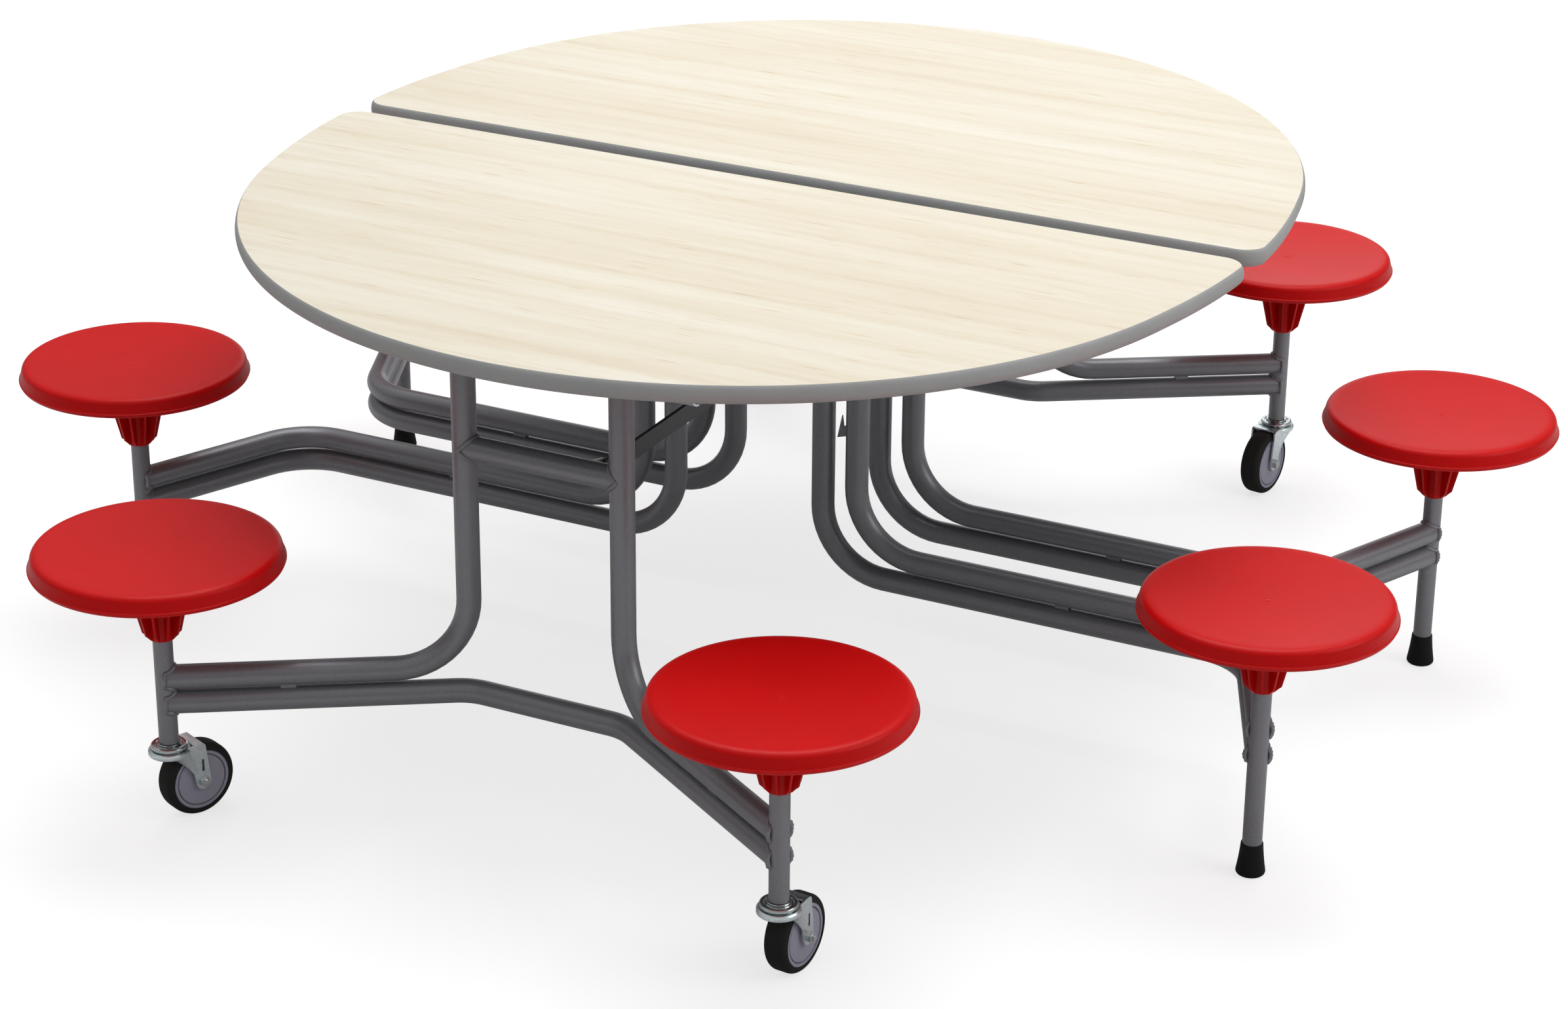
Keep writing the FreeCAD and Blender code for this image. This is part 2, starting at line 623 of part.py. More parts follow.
def catch_plate():
    """Make the notched plate on the front right outer upright, facing the inner upright."""
    right = CENTRE_OUTER_UPRIGHT_X
    left = right - TUBE_RADIUS - CATCH_WIDTH / 2
    low = CATCH_HEIGHT - CATCH_LENGTH / 2
    high = CATCH_HEIGHT + CATCH_LENGTH / 2
    y = -CENTRE_FRAME_Y - CATCH_THICKNESS / 2
    notch = Vector(left + CATCH_WIDTH / 3, y, CATCH_HEIGHT)
    plate = outline([
        Vector(left, y, low),
        Vector(right, y, CATCH_HEIGHT - CATCH_LENGTH / 4),
        Vector(right, y, high),
        notch,
        Vector(left + CATCH_WIDTH / 4, y, high),
    ]).extrude(Y_AXIS * CATCH_THICKNESS)
    upright = Vector(right, -CENTRE_FRAME_Y, 0)
    return min(
        plate.cut(Part.makeCylinder(TUBE_RADIUS + WELD_GAP, TOP_HEIGHT, upright)).Solids,
        key=lambda solid: solid.CenterOfMass.x,
    )


# Castors, built with the trail along +X and the swivel axis on Z
def castor_race():
    """Make the fixed bearing race with the plug that fills the post's end."""
    radius = RACE_DIAMETER / 2
    neck = radius - RACE_OVERHANG
    rim_bottom = RACE_BOTTOM + RACE_UNDERCUT
    ring_top = RACE_BOTTOM + RACE_HEIGHT
    plug_radius = POST_RADIUS - POST_WALL - WELD_GAP
    plug_top = CASTOR_POST_BOTTOM + RACE_PLUG_LENGTH
    race = revolved([
        (0, RACE_BOTTOM),
        (neck, RACE_BOTTOM),
        (neck, rim_bottom),
        (radius - RACE_EDGE / 2, rim_bottom),
        (radius, rim_bottom + RACE_EDGE / 2),
        (radius, ring_top - RACE_EDGE),
        (radius - RACE_EDGE, ring_top),
        (RACE_COLLAR_DIAMETER / 2, ring_top),
        (RACE_COLLAR_DIAMETER / 2, CASTOR_POST_BOTTOM),
        (plug_radius, CASTOR_POST_BOTTOM),
        (plug_radius, plug_top),
        (0, plug_top),
    ])
    bore_height = KING_PIN_LENGTH + FACE_GAP
    bore_radius = KING_PIN_DIAMETER / 2 + RUNNING_GAP
    return race.cut(Part.makeCylinder(bore_radius, bore_height, Vector(0, 0, RACE_BOTTOM - FACE_GAP)))


def across(diameter, length, x=CASTOR_TRAIL, z=WHEEL_RADIUS):
    """Make a round bar across the wheel, centred on its middle plane."""
    return rod(diameter, Vector(x, -length / 2, z), Vector(x, length / 2, z))


def fork_crease():
    """Return where a leg's outer face meets the crown's rim, along the trail."""
    crown = FORK_CROWN_DIAMETER / 2
    return math.sqrt(crown ** 2 - LEG_OUTER ** 2)


def fork_leg():
    """Make the flat part of one fork leg in the XZ plane."""
    nose = FORK_NOSE_RADIUS
    axle_x, axle_z = CASTOR_TRAIL, WHEEL_RADIUS
    rear = axle_x + FORK_LEG_REACH
    front = fork_crease() - FORK_LEG_OVERLAP

    def point(x, z):
        return Vector(x, 0, z)

    return closed_face(
        Part.LineSegment(point(front, FORK_CROWN_BOTTOM), point(axle_x - nose, axle_z)),
        Part.Arc(point(axle_x - nose, axle_z), point(axle_x, axle_z - nose), point(axle_x + nose, axle_z)),
        Part.LineSegment(point(axle_x + nose, axle_z), point(rear, WEB_TOP - FORK_LEG_CORNER)),
        Part.LineSegment(point(rear, WEB_TOP - FORK_LEG_CORNER), point(rear - FORK_LEG_CORNER, WEB_TOP)),
        Part.LineSegment(point(rear - FORK_LEG_CORNER, WEB_TOP), point(FORK_WEB_FRONT, WEB_TOP)),
        Part.LineSegment(point(FORK_WEB_FRONT, WEB_TOP), point(fork_crease(), FORK_CROWN_TOP)),
        Part.LineSegment(point(fork_crease(), FORK_CROWN_TOP), point(front, FORK_CROWN_TOP)),
        Part.LineSegment(point(front, FORK_CROWN_TOP), point(front, FORK_CROWN_BOTTOM)),
    ).extrude(Y_AXIS * FORK_PLATE)


def flare_section(share):
    """Make one level of the skin that runs from the crown's rim, at 0, down to the nose, at 1."""
    crown = FORK_CROWN_DIAMETER / 2
    left = 1 - share
    low = WHEEL_RADIUS + FORK_NOSE_RADIUS / 2
    height = low + (FORK_CROWN_BOTTOM + FORK_PLATE - low) * left
    front_end = CASTOR_TRAIL - FORK_NOSE_RADIUS + FORK_LEG_OVERLAP
    front = -FORK_FLARE_LEAD + (front_end + FORK_FLARE_LEAD) * share ** FORK_FLARE_SHAPE
    rear = fork_crease() + (front_end + FORK_LEG_OVERLAP - fork_crease()) * share
    rim = math.sqrt(crown ** 2 - FORK_FLARE_LEAD ** 2)
    bulge = (crown - LEG_OUTER) * left ** 2 + FORK_FLARE_INSET / 4

    def skin(depth):
        return Part.Arc(
            Vector(front, LEG_OUTER + (rim - LEG_OUTER) * left - depth, height),
            Vector((front + rear) / 2, LEG_OUTER + bulge - depth, height),
            Vector(rear, LEG_OUTER - depth, height),
        ).toShape()

    outside = skin(FORK_FLARE_INSET)
    inside = skin(FORK_PLATE - FORK_FLARE_INSET)
    ends = []
    for outer, inner in zip(outside.Vertexes, inside.Vertexes):
        ends.append(Part.LineSegment(outer.Point, inner.Point).toShape())
    return Part.Wire([outside, ends[1], inside, ends[0]])


def fork_flare():
    """Make the pressed skin between the crown's rim and the leg on the +Y side."""
    last = FORK_FLARE_LEVELS - 1
    return Part.makeLoft([flare_section(level / last) for level in range(FORK_FLARE_LEVELS)], True)


def castor_fork():
    """Make the pressed fork: a round crown, two flared legs, the web between them and the king pin."""
    crown = FORK_CROWN_DIAMETER / 2
    edge = FORK_CROWN_HEIGHT / 4
    body = revolved([
        (0, FORK_CROWN_BOTTOM),
        (crown - edge / 2, FORK_CROWN_BOTTOM),
        (crown, FORK_CROWN_BOTTOM + edge / 2),
        (crown, FORK_CROWN_TOP - edge),
        (crown - edge, FORK_CROWN_TOP),
        (0, FORK_CROWN_TOP),
    ])
    web_length = CASTOR_TRAIL + FORK_LEG_REACH - FORK_LEG_CORNER - FORK_WEB_FRONT
    web_start = Vector(FORK_WEB_FRONT, -LEG_OUTER, WEB_BOTTOM)
    web = Part.makeBox(web_length, 2 * LEG_OUTER, FORK_PLATE, web_start)
    flare = fork_flare()
    flares = [flare, flare.mirror(Vector(0, 0, 0), Y_AXIS)]
    legs = [moved(fork_leg(), 0, LEG_INNER), moved(fork_leg(), 0, -LEG_OUTER)]
    pin = Part.makeCylinder(KING_PIN_DIAMETER / 2, KING_PIN_LENGTH, Vector(0, 0, FORK_CROWN_TOP))
    fork = body.fuse(legs + flares + [web, pin])
    fork = fork.cut(across(WHEEL_DIAMETER + 2 * FORK_WHEEL_GAP, 2 * LEG_INNER))
    fork = fork.cut(across(AXLE_DIAMETER + 2 * WELD_GAP, 4 * LEG_OUTER))
    slot_low = FORK_SLOT_HEIGHT - FORK_SLOT_LENGTH / 2
    slot = Vector(CASTOR_TRAIL - FORK_SLOT_WIDTH / 2, -LEG_OUTER, slot_low)
    fork = fork.cut(Part.makeBox(FORK_SLOT_WIDTH, FORK_PLATE, FORK_SLOT_LENGTH, slot))
    return main_solid(fork)


def axle_bolt():
    """Make the axle with its hexagon head on one side and its nut on the other."""
    tail = LEG_OUTER + AXLE_HEX_HEIGHT + AXLE_TAIL
    head_face = Vector(CASTOR_TRAIL, LEG_OUTER, WHEEL_RADIUS)
    nut_face = Vector(CASTOR_TRAIL, -LEG_OUTER, WHEEL_RADIUS)
    shank = rod(AXLE_DIAMETER, Vector(CASTOR_TRAIL, -tail, WHEEL_RADIUS), head_face)
    head = hexagon(AXLE_HEX, AXLE_HEX_HEIGHT, head_face, Y_AXIS)
    nut = hexagon(AXLE_HEX, AXLE_HEX_HEIGHT, nut_face, Y_AXIS * -1)
    return main_solid(shank.fuse([head, nut]))


def on_axle(solid):
    """Lay a solid turned round Z on the castor's axle."""
    laid = turned(solid, 90, axis=X_AXIS)
    return moved(laid, CASTOR_TRAIL, 0, WHEEL_RADIUS)


def tyre():
    """Make the tyre with rounded shoulders."""
    half = WHEEL_WIDTH / 2
    inner = WHEEL_HUB_DIAMETER / 2 + WELD_GAP
    shoulder = WHEEL_RADIUS - WHEEL_SHOULDER

    def point(radius, height):
        return Vector(radius, 0, height)

    bulge = WHEEL_RADIUS - ROUND_MIDDLE * WHEEL_SHOULDER
    side = half - ROUND_MIDDLE * WHEEL_SHOULDER
    tread = half - WHEEL_SHOULDER
    profile = closed_face(
        Part.LineSegment(point(inner, -half), point(shoulder, -half)),
        Part.Arc(point(shoulder, -half), point(bulge, -side), point(WHEEL_RADIUS, -tread)),
        Part.LineSegment(point(WHEEL_RADIUS, -tread), point(WHEEL_RADIUS, tread)),
        Part.Arc(point(WHEEL_RADIUS, tread), point(bulge, side), point(shoulder, half)),
        Part.LineSegment(point(shoulder, half), point(inner, half)),
        Part.LineSegment(point(inner, half), point(inner, -half)),
    )
    return on_axle(profile.revolve(Vector(0, 0, 0), Z_AXIS, 360))


def wheel_hub():
    """Make the wheel's disc with a groove ring on each face and a boss at its bore."""
    face = WHEEL_WIDTH / 2 - WHEEL_HUB_RECESS
    boss = LEG_INNER - FACE_GAP
    bore = AXLE_RADIUS + RUNNING_GAP
    groove = WHEEL_HUB_GROOVE_DIAMETER / 2
    half = [
        (bore, boss),
        (WHEEL_BOSS_DIAMETER / 2, boss),
        (WHEEL_BOSS_DIAMETER / 2, face),
        (groove - WHEEL_HUB_GROOVE, face),
        (groove, face - WHEEL_HUB_GROOVE),
        (groove + WHEEL_HUB_GROOVE, face),
        (WHEEL_HUB_DIAMETER / 2, face),
    ]
    other = [(radius, -height) for radius, height in reversed(half)]
    return on_axle(revolved(half + other))


# Front outer frame, and its twin at the rear
def build_outer_frames():
    """Write the pieces of the two outer frames."""
    upper = outer_upper_tube()
    lower = outer_lower_tube()
    corner = Vector(OUTER_UPRIGHT_X, -OUTER_FRAME_Y, 0)
    stool = Vector(CASTOR_STOOL_X, -CASTOR_STOOL_Y, 0)
    spacer = arm_spacer(corner, stool, OUTER_SPACER_SHARE)
    lug = link_lug(link_pivots()[0], -OUTER_FRAME_Y, CROSS_TUBE_HEIGHT)
    right_seat = moved(seat(), stool.x, stool.y)
    left_seat = moved(seat(), -stool.x, stool.y)
    posts = [post(side * stool.x, stool.y, CASTOR_POST_BOTTOM) for side in (-1, 1)]
    races = [moved(castor_race(), side * stool.x, stool.y) for side in (-1, 1)]
    pieces = {
        "upper_tubes": [mirrored_x(upper), upper],
        "lower_tube": [lower, mirrored_x(spacer), spacer],
        "cross_tube": [cross_tube()],
        "pivot_tube": [pivot_tube(-OUTER_FRAME_Y)],
        "posts": posts,
        "castor_races": races,
        "link_lug": [lug],
    }
    for name, solids in pieces.items():
        save(f"front_{name}", *solids)
        save(f"rear_{name}", *[opposite(solid) for solid in solids])
    save("front_left_seat", left_seat)
    save("front_right_seat", right_seat)
    save("rear_right_seat", opposite(left_seat))
    save("rear_left_seat", opposite(right_seat))


def build_centre_frame():
    """Write the pieces of the centre frame."""
    upper = centre_tube(CENTRE_OUTER_UPRIGHT_X, ARM_UPPER_HEIGHT)
    lower = centre_tube(CENTRE_INNER_UPRIGHT_X, ARM_LOWER_HEIGHT)
    bend_end = Vector(CENTRE_OUTER_UPRIGHT_X + BEND_RADIUS, -CENTRE_FRAME_Y, 0)
    corner = Vector(CENTRE_CORNER_X, -CENTRE_FRAME_Y, 0)
    spacer = arm_spacer(bend_end, corner, CENTRE_SPACER_SHARE)
    right = [upper, lower, spacer]
    left = [mirrored_x(solid) for solid in right]
    save("centre_front_right_tubes", *right)
    save("centre_front_left_tubes", *left)
    save("centre_rear_left_tubes", *[opposite(solid) for solid in right])
    save("centre_rear_right_tubes", *[opposite(solid) for solid in left])
    corners = {
        "left_front": (-FOOT_STOOL_X, -FOOT_STOOL_Y),
        "right_front": (FOOT_STOOL_X, -FOOT_STOOL_Y),
        "right_rear": (FOOT_STOOL_X, FOOT_STOOL_Y),
        "left_rear": (-FOOT_STOOL_X, FOOT_STOOL_Y),
    }
    for name, (x, y) in corners.items():
        save(f"{name}_seat", moved(seat(), x, y))
    save("centre_posts", *[post(x, y, FOOT_FLOOR) for x, y in corners.values()])
    save("rubber_feet", *[rubber_foot(x, y) for x, y in corners.values()])
    save("centre_pivot_tubes", pivot_tube(-CENTRE_FRAME_Y), pivot_tube(CENTRE_FRAME_Y))
    save("centre_end_plates", mirrored_x(end_plate()), end_plate())
    lug = link_lug(link_pivots()[1], -CENTRE_FRAME_Y, PIVOT_HEIGHT)
    save("centre_link_lugs", lug, opposite(lug))
    catch = catch_plate()
    save("centre_catch_plates", catch, opposite(catch))


def build_tops():
    """Write the two half tops with their saddles and screws."""
    saddles = []
    for x in saddle_places():
        saddles += [saddle(x, -OUTER_FRAME_Y), saddle(x, -CENTRE_FRAME_Y)]
    pieces = {
        "top_board": [top_board()],
        "top_edging": [top_edging()],
        "top_saddles": saddles,
        "top_screws": [saddle_screw(place) for place in screw_places()],
    }
    for name, solids in pieces.items():
        save(f"front_{name}", *solids)
        save(f"rear_{name}", *[opposite(solid) for solid in solids])


def build_links():
    """Write the two link bars with their bolts."""
    bolts = [link_bolt(pivot_y) for pivot_y in link_pivots()]
    save("front_link", link_bar())
    save("rear_link", opposite(link_bar()))
    save("front_link_bolts", *bolts)
    save("rear_link_bolts", *[opposite(bolt) for bolt in bolts])


def build_castors():
    """Write the four castors, each turned to its own heading."""
    signs = {"front_left": (-1, -1), "front_right": (1, -1), "rear_right": (1, 1), "rear_left": (-1, 1)}
    pieces = {"fork": castor_fork(), "axle": axle_bolt(), "wheel_hub": wheel_hub(), "tyre": tyre()}
    for corner, (side_x, side_y) in signs.items():
        for name, solid in pieces.items():
            placed = turned(solid, CASTOR_HEADINGS[corner])
            placed = moved(placed, side_x * CASTOR_STOOL_X, side_y * CASTOR_STOOL_Y)
            save(f"{corner}_{name}", placed)


os.makedirs("parts", exist_ok=True)
build_tops()
build_outer_frames()
build_centre_frame()
build_links()
build_castors()
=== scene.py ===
"""Looks of a mobile folding table with eight attached stools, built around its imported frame.

Every new piece is a surface worked out with numpy: a profile turned round an axis, a section carried
along a path, or an outline given a thickness. All sizes are in metres, in the frame of the CAD part.
"""
import json
import logging
import math
from dataclasses import dataclass, field
from enum import Enum

import bmesh
import bpy
import numpy as np
from mathutils import Matrix, Vector


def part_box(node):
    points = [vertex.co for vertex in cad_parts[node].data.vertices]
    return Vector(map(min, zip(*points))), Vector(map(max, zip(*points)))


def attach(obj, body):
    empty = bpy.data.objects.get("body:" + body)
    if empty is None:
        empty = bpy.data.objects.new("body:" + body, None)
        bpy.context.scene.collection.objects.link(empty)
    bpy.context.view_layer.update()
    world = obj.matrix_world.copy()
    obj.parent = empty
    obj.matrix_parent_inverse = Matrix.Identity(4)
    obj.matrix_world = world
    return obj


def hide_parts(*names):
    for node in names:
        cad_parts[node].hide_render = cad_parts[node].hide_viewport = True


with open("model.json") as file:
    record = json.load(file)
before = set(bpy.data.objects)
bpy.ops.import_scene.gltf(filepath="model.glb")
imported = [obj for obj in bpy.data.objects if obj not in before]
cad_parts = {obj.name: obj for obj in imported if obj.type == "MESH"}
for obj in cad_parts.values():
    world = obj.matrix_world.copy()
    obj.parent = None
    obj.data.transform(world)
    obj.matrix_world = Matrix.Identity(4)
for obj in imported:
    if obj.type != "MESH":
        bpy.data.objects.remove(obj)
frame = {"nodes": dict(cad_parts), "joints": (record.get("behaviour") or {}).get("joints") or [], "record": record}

LOG = logging.getLogger("folding_table")
MM = 0.001
MERGE_DISTANCE = 1e-6
X_AXIS = np.array([1.0, 0.0, 0.0])
Z_AXIS = np.array([0.0, 0.0, 1.0])
WHITE = (1.0, 1.0, 1.0)
STEEP = 0.9

Array = np.ndarray
Pair = tuple[float, float]
Triple = tuple[float, float, float]
Node = bpy.types.Node
Piece = bpy.types.Object
Material = bpy.types.Material


class Labelled(Enum):
    """A part of the table whose value is the sign of its side."""

    def __str__(self) -> str:
        """Spell the name as the nodes do."""
        return self.name.lower()


class Half(Labelled):
    """The two halves of the table, with the sign of their Y side."""

    FRONT = -1
    REAR = 1


class Side(Labelled):
    """Left and right, with the sign of their X side."""

    LEFT = -1
    RIGHT = 1


# Meshes


def unit(vector: Array) -> Array:
    """Return vectors scaled to length one along their last axis."""
    return vector / np.linalg.norm(vector, axis=-1, keepdims=True)


def side_of(axis: Array) -> Array:
    """Return a unit direction that is well away from an axis."""
    return Z_AXIS if abs(axis[2]) < STEEP else X_AXIS


def circle(first: Array, second: Array, count: int) -> Array:
    """Sample circles of radius one: cos * first + sin * second, on an added axis before the last."""
    angle = np.linspace(0, 2 * np.pi, count, endpoint=False)[:, None]
    return np.cos(angle) * first[..., None, :] + np.sin(angle) * second[..., None, :]


def box_centre(node: str) -> Array:
    """Return the middle of a CAD node's box at rest."""
    low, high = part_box(node)
    return (np.array(low) + np.array(high)) / 2


def linked(name: str, data: bpy.types.ID) -> Piece:
    """Make an object of its data and link it to the scene."""
    piece = bpy.data.objects.new(name, data)
    bpy.context.scene.collection.objects.link(piece)
    return piece


def shade(mesh: bpy.types.Mesh, sharp_degrees: float) -> None:
    """Shade a mesh smooth, apart from edges that turn by more than the given angle."""
    mesh.shade_smooth()
    mesh.set_sharp_from_angle(angle=math.radians(sharp_degrees))


def grid_faces(rows: int, columns: int, wrap_rows: bool) -> Array:
    """Index the quads of a grid of points whose columns wrap round.

    Args:
        rows: Number of rows in the grid.
        columns: Number of columns in the grid.
        wrap_rows: Whether the last row meets the first.

    Returns:
        An array of four indices per face.
    """
    last = rows if wrap_rows else rows - 1
    row, column = np.meshgrid(np.arange(last), np.arange(columns), indexing="ij")
    below = (row + 1) % rows
    beside = (column + 1) % columns
    pairs = [(row, column), (below, column), (below, beside), (row, beside)]
    return np.stack([down * columns + along for down, along in pairs], axis=-1).reshape(-1, 4)


class Shell:
    """Collects grids and polygons, then makes them one mesh object."""

    def __init__(self) -> None:
        """Start with no points and no faces."""
        self.points: list[Array] = []
        self.faces: list[list[int]] = []
        self.count = 0

    def grid(self, points: Array, wrap_rows: bool = False) -> "Shell":
        """Add a grid of points, rows by columns by three, and return the shell."""
        rows, columns = points.shape[:2]
        faces = grid_faces(rows, columns, wrap_rows) + self.count
        self.points.append(points.reshape(-1, 3))
        self.faces.extend(faces.tolist())
        self.count += rows * columns
        return self

    def polygon(self, loop: Array) -> "Shell":
        """Add one flat face round a loop of points and return the shell."""
        self.points.append(loop)
        self.faces.append(list(range(self.count, self.count + len(loop))))
        self.count += len(loop)
        return self

    def plate(self, loop: Array, thickness: Array) -> "Shell":
        """Add an outline carried straight along a thickness vector, closed at both faces."""
        self.grid(np.stack([loop, loop + thickness]))
        return self.polygon(loop).polygon(loop + thickness)

    def build(self, name: str, sharp_degrees: float = 35.0) -> Piece:
        """Make the mesh object, with doubles merged, normals outwards and smooth shading.

        Args:
            name: The piece's name.
            sharp_degrees: Edges that turn by more than this stay sharp.

        Returns:
            The new object, linked to the scene.
        """
        mesh = bpy.data.meshes.new(name)
        mesh.from_pydata(np.concatenate(self.points), [], self.faces)
        work = bmesh.new()
        work.from_mesh(mesh)
        bmesh.ops.remove_doubles(work, verts=work.verts, dist=MERGE_DISTANCE)
        bmesh.ops.recalc_face_normals(work, faces=work.faces)
        work.to_mesh(mesh)
        work.free()
        shade(mesh, sharp_degrees)
        return linked(name, mesh)


def arc_points(centre: Array, radius: float, start: float, end: float, steps: int) -> Array:
    """Sample an arc in a plane from one angle to another, in degrees."""
    angle = np.radians(np.linspace(start, end, steps))
    return np.stack([centre[0] + radius * np.cos(angle), centre[1] + radius * np.sin(angle)], axis=-1)


def lathe(profile: Array, segments: int, centre: Array, axis: Array = Z_AXIS) -> Array:
    """Turn a profile of (radius, height) round an axis: centre + height * axis + radius * spoke.

    Args:
        profile: Radius and height of each row.
        segments: Number of spokes round the axis.
        centre: Where height zero lies on the axis.
        axis: The axis the profile turns round.

    Returns:
        A grid of points, one row per profile point.
    """
    axis = unit(axis)
    first = unit(np.cross(side_of(axis), axis))
    spokes = circle(first, np.cross(axis, first), segments)
    radius, height = profile.T[:, :, None, None]
    return centre + height * axis + radius * spokes


@dataclass
class BentPath:
    """A tube's centre line: straight runs through points, with a tangent arc at each corner."""

    points: Array
    radii: list[float]
    arc_steps: int = 14
    run_steps: int = 6

    def stations(self) -> Array:
        """Sample the line: each run evenly, each corner along its arc."""
        pieces = []
        start = self.points[0]
        for before, corner, after, radius in zip(self.points, self.points[1:], self.points[2:], self.radii):
            incoming = unit(corner - before)
            outgoing = unit(after - corner)
            turn = math.acos(float(np.clip(incoming @ outgoing, -1, 1)))
            arc_start = corner - incoming * radius * math.tan(turn / 2)
            centre = arc_start + unit(outgoing - incoming * (incoming @ outgoing)) * radius
            angle = np.linspace(0, turn, self.arc_steps)[:, None]
            pieces.append(start + (arc_start - start) * np.linspace(0, 1, self.run_steps)[:-1, None])
            pieces.append(centre + (arc_start - centre) * np.cos(angle) + incoming * radius * np.sin(angle))
            start = pieces[-1][-1]
        last_run = start + (self.points[-1] - start) * np.linspace(0, 1, self.run_steps)[:, None]
        pieces.append(last_run if not pieces else last_run[1:])
        return np.concatenate(pieces)

    def frames(self) -> tuple[Array, Array, Array, Array]:
        """Return stations, tangents and two side vectors that turn as little as they can."""
        stations = self.stations()
        tangents = unit(np.gradient(stations, axis=0))
        tangents[0] = unit(self.points[1] - self.points[0])
        tangents[-1] = unit(self.points[-1] - self.points[-2])
        side = unit(np.cross(tangents[0], side_of(tangents[0])))
        sides = []
        for tangent in tangents:
            side = unit(side - tangent * (side @ tangent))
            sides.append(side)
        first = np.array(sides)
        return stations, tangents, first, np.cross(tangents, first)


@dataclass
class Cope:
    """A round bar that a tube's end is shaped to."""

    axis: Array
    radius: float

    def setback(self, tangent: Array, spokes: Array) -> Array:
        """How far each rim point stops before the bar's axis: the root of radius² less offset²."""
        offset = spokes @ unit(np.cross(tangent, self.axis))
        return tangent * np.sqrt(np.maximum(self.radius ** 2 - offset ** 2, 0.0))[:, None]


def tube_grid(path: BentPath, radius: float, sides: int, start: Cope, end: Cope) -> Array:
    """Carry a circle along a path, with each end coped to the bar that it meets.

    Args:
        path: The tube's centre line, whose ends lie on the axes of the bars it meets.
        radius: The tube's outer radius.
        sides: Number of points round the tube.
        start: The bar at the first end.
        end: The bar at the last end.

    Returns:
        A grid of points, one row per station.
    """
    stations, tangents, first, second = path.frames()
    spokes = radius * circle(first, second, sides)
    points = stations[:, None, :] + spokes
    points[0] += start.setback(tangents[0], spokes[0])
    points[-1] -= end.setback(tangents[-1], spokes[-1])
    return points


@dataclass
class WeldBead:
    """A rippled fillet weld that runs round the coped end of a tube."""

    width: float = 3.2 * MM
    ripple: float = 0.16
    ripples: int = 26
    sway: float = 0.1
    sways: int = 5
    section_steps: int = 10

    def grid(self, rim: Array, middle: Array, seed: float) -> Array:
        """Carry a small circle round a tube's rim, its radius rippled by two sines.

        Args:
            rim: The points of the tube's coped end, in order.
            middle: A point on the tube's axis near that end.
            seed: A phase that makes each bead its own.

        Returns:
            A grid of points that wraps both ways.
        """
        along = unit(np.roll(rim, -1, axis=0) - np.roll(rim, 1, axis=0))
        outward = rim - middle
        outward = unit(outward - along * np.sum(outward * along, axis=-1, keepdims=True))
        turn = np.linspace(0, 2 * np.pi, len(rim), endpoint=False)
        swell = 1 + self.ripple * np.sin(self.ripples * turn + seed)
        swell += self.sway * np.sin(self.sways * turn + 2 * seed)
        section = circle(outward, np.cross(along, outward), self.section_steps)
        return rim[:, None] + self.width * swell[:, None, None] * section


# Finishes


@dataclass(frozen=True)
class Noise:
    """A noise pattern: its cells per metre along each axis, and how fine and twisted it is."""

    per_metre: Triple
    detail: float = 2.0
    rough: float = 0.5
    twist: float = 0.0


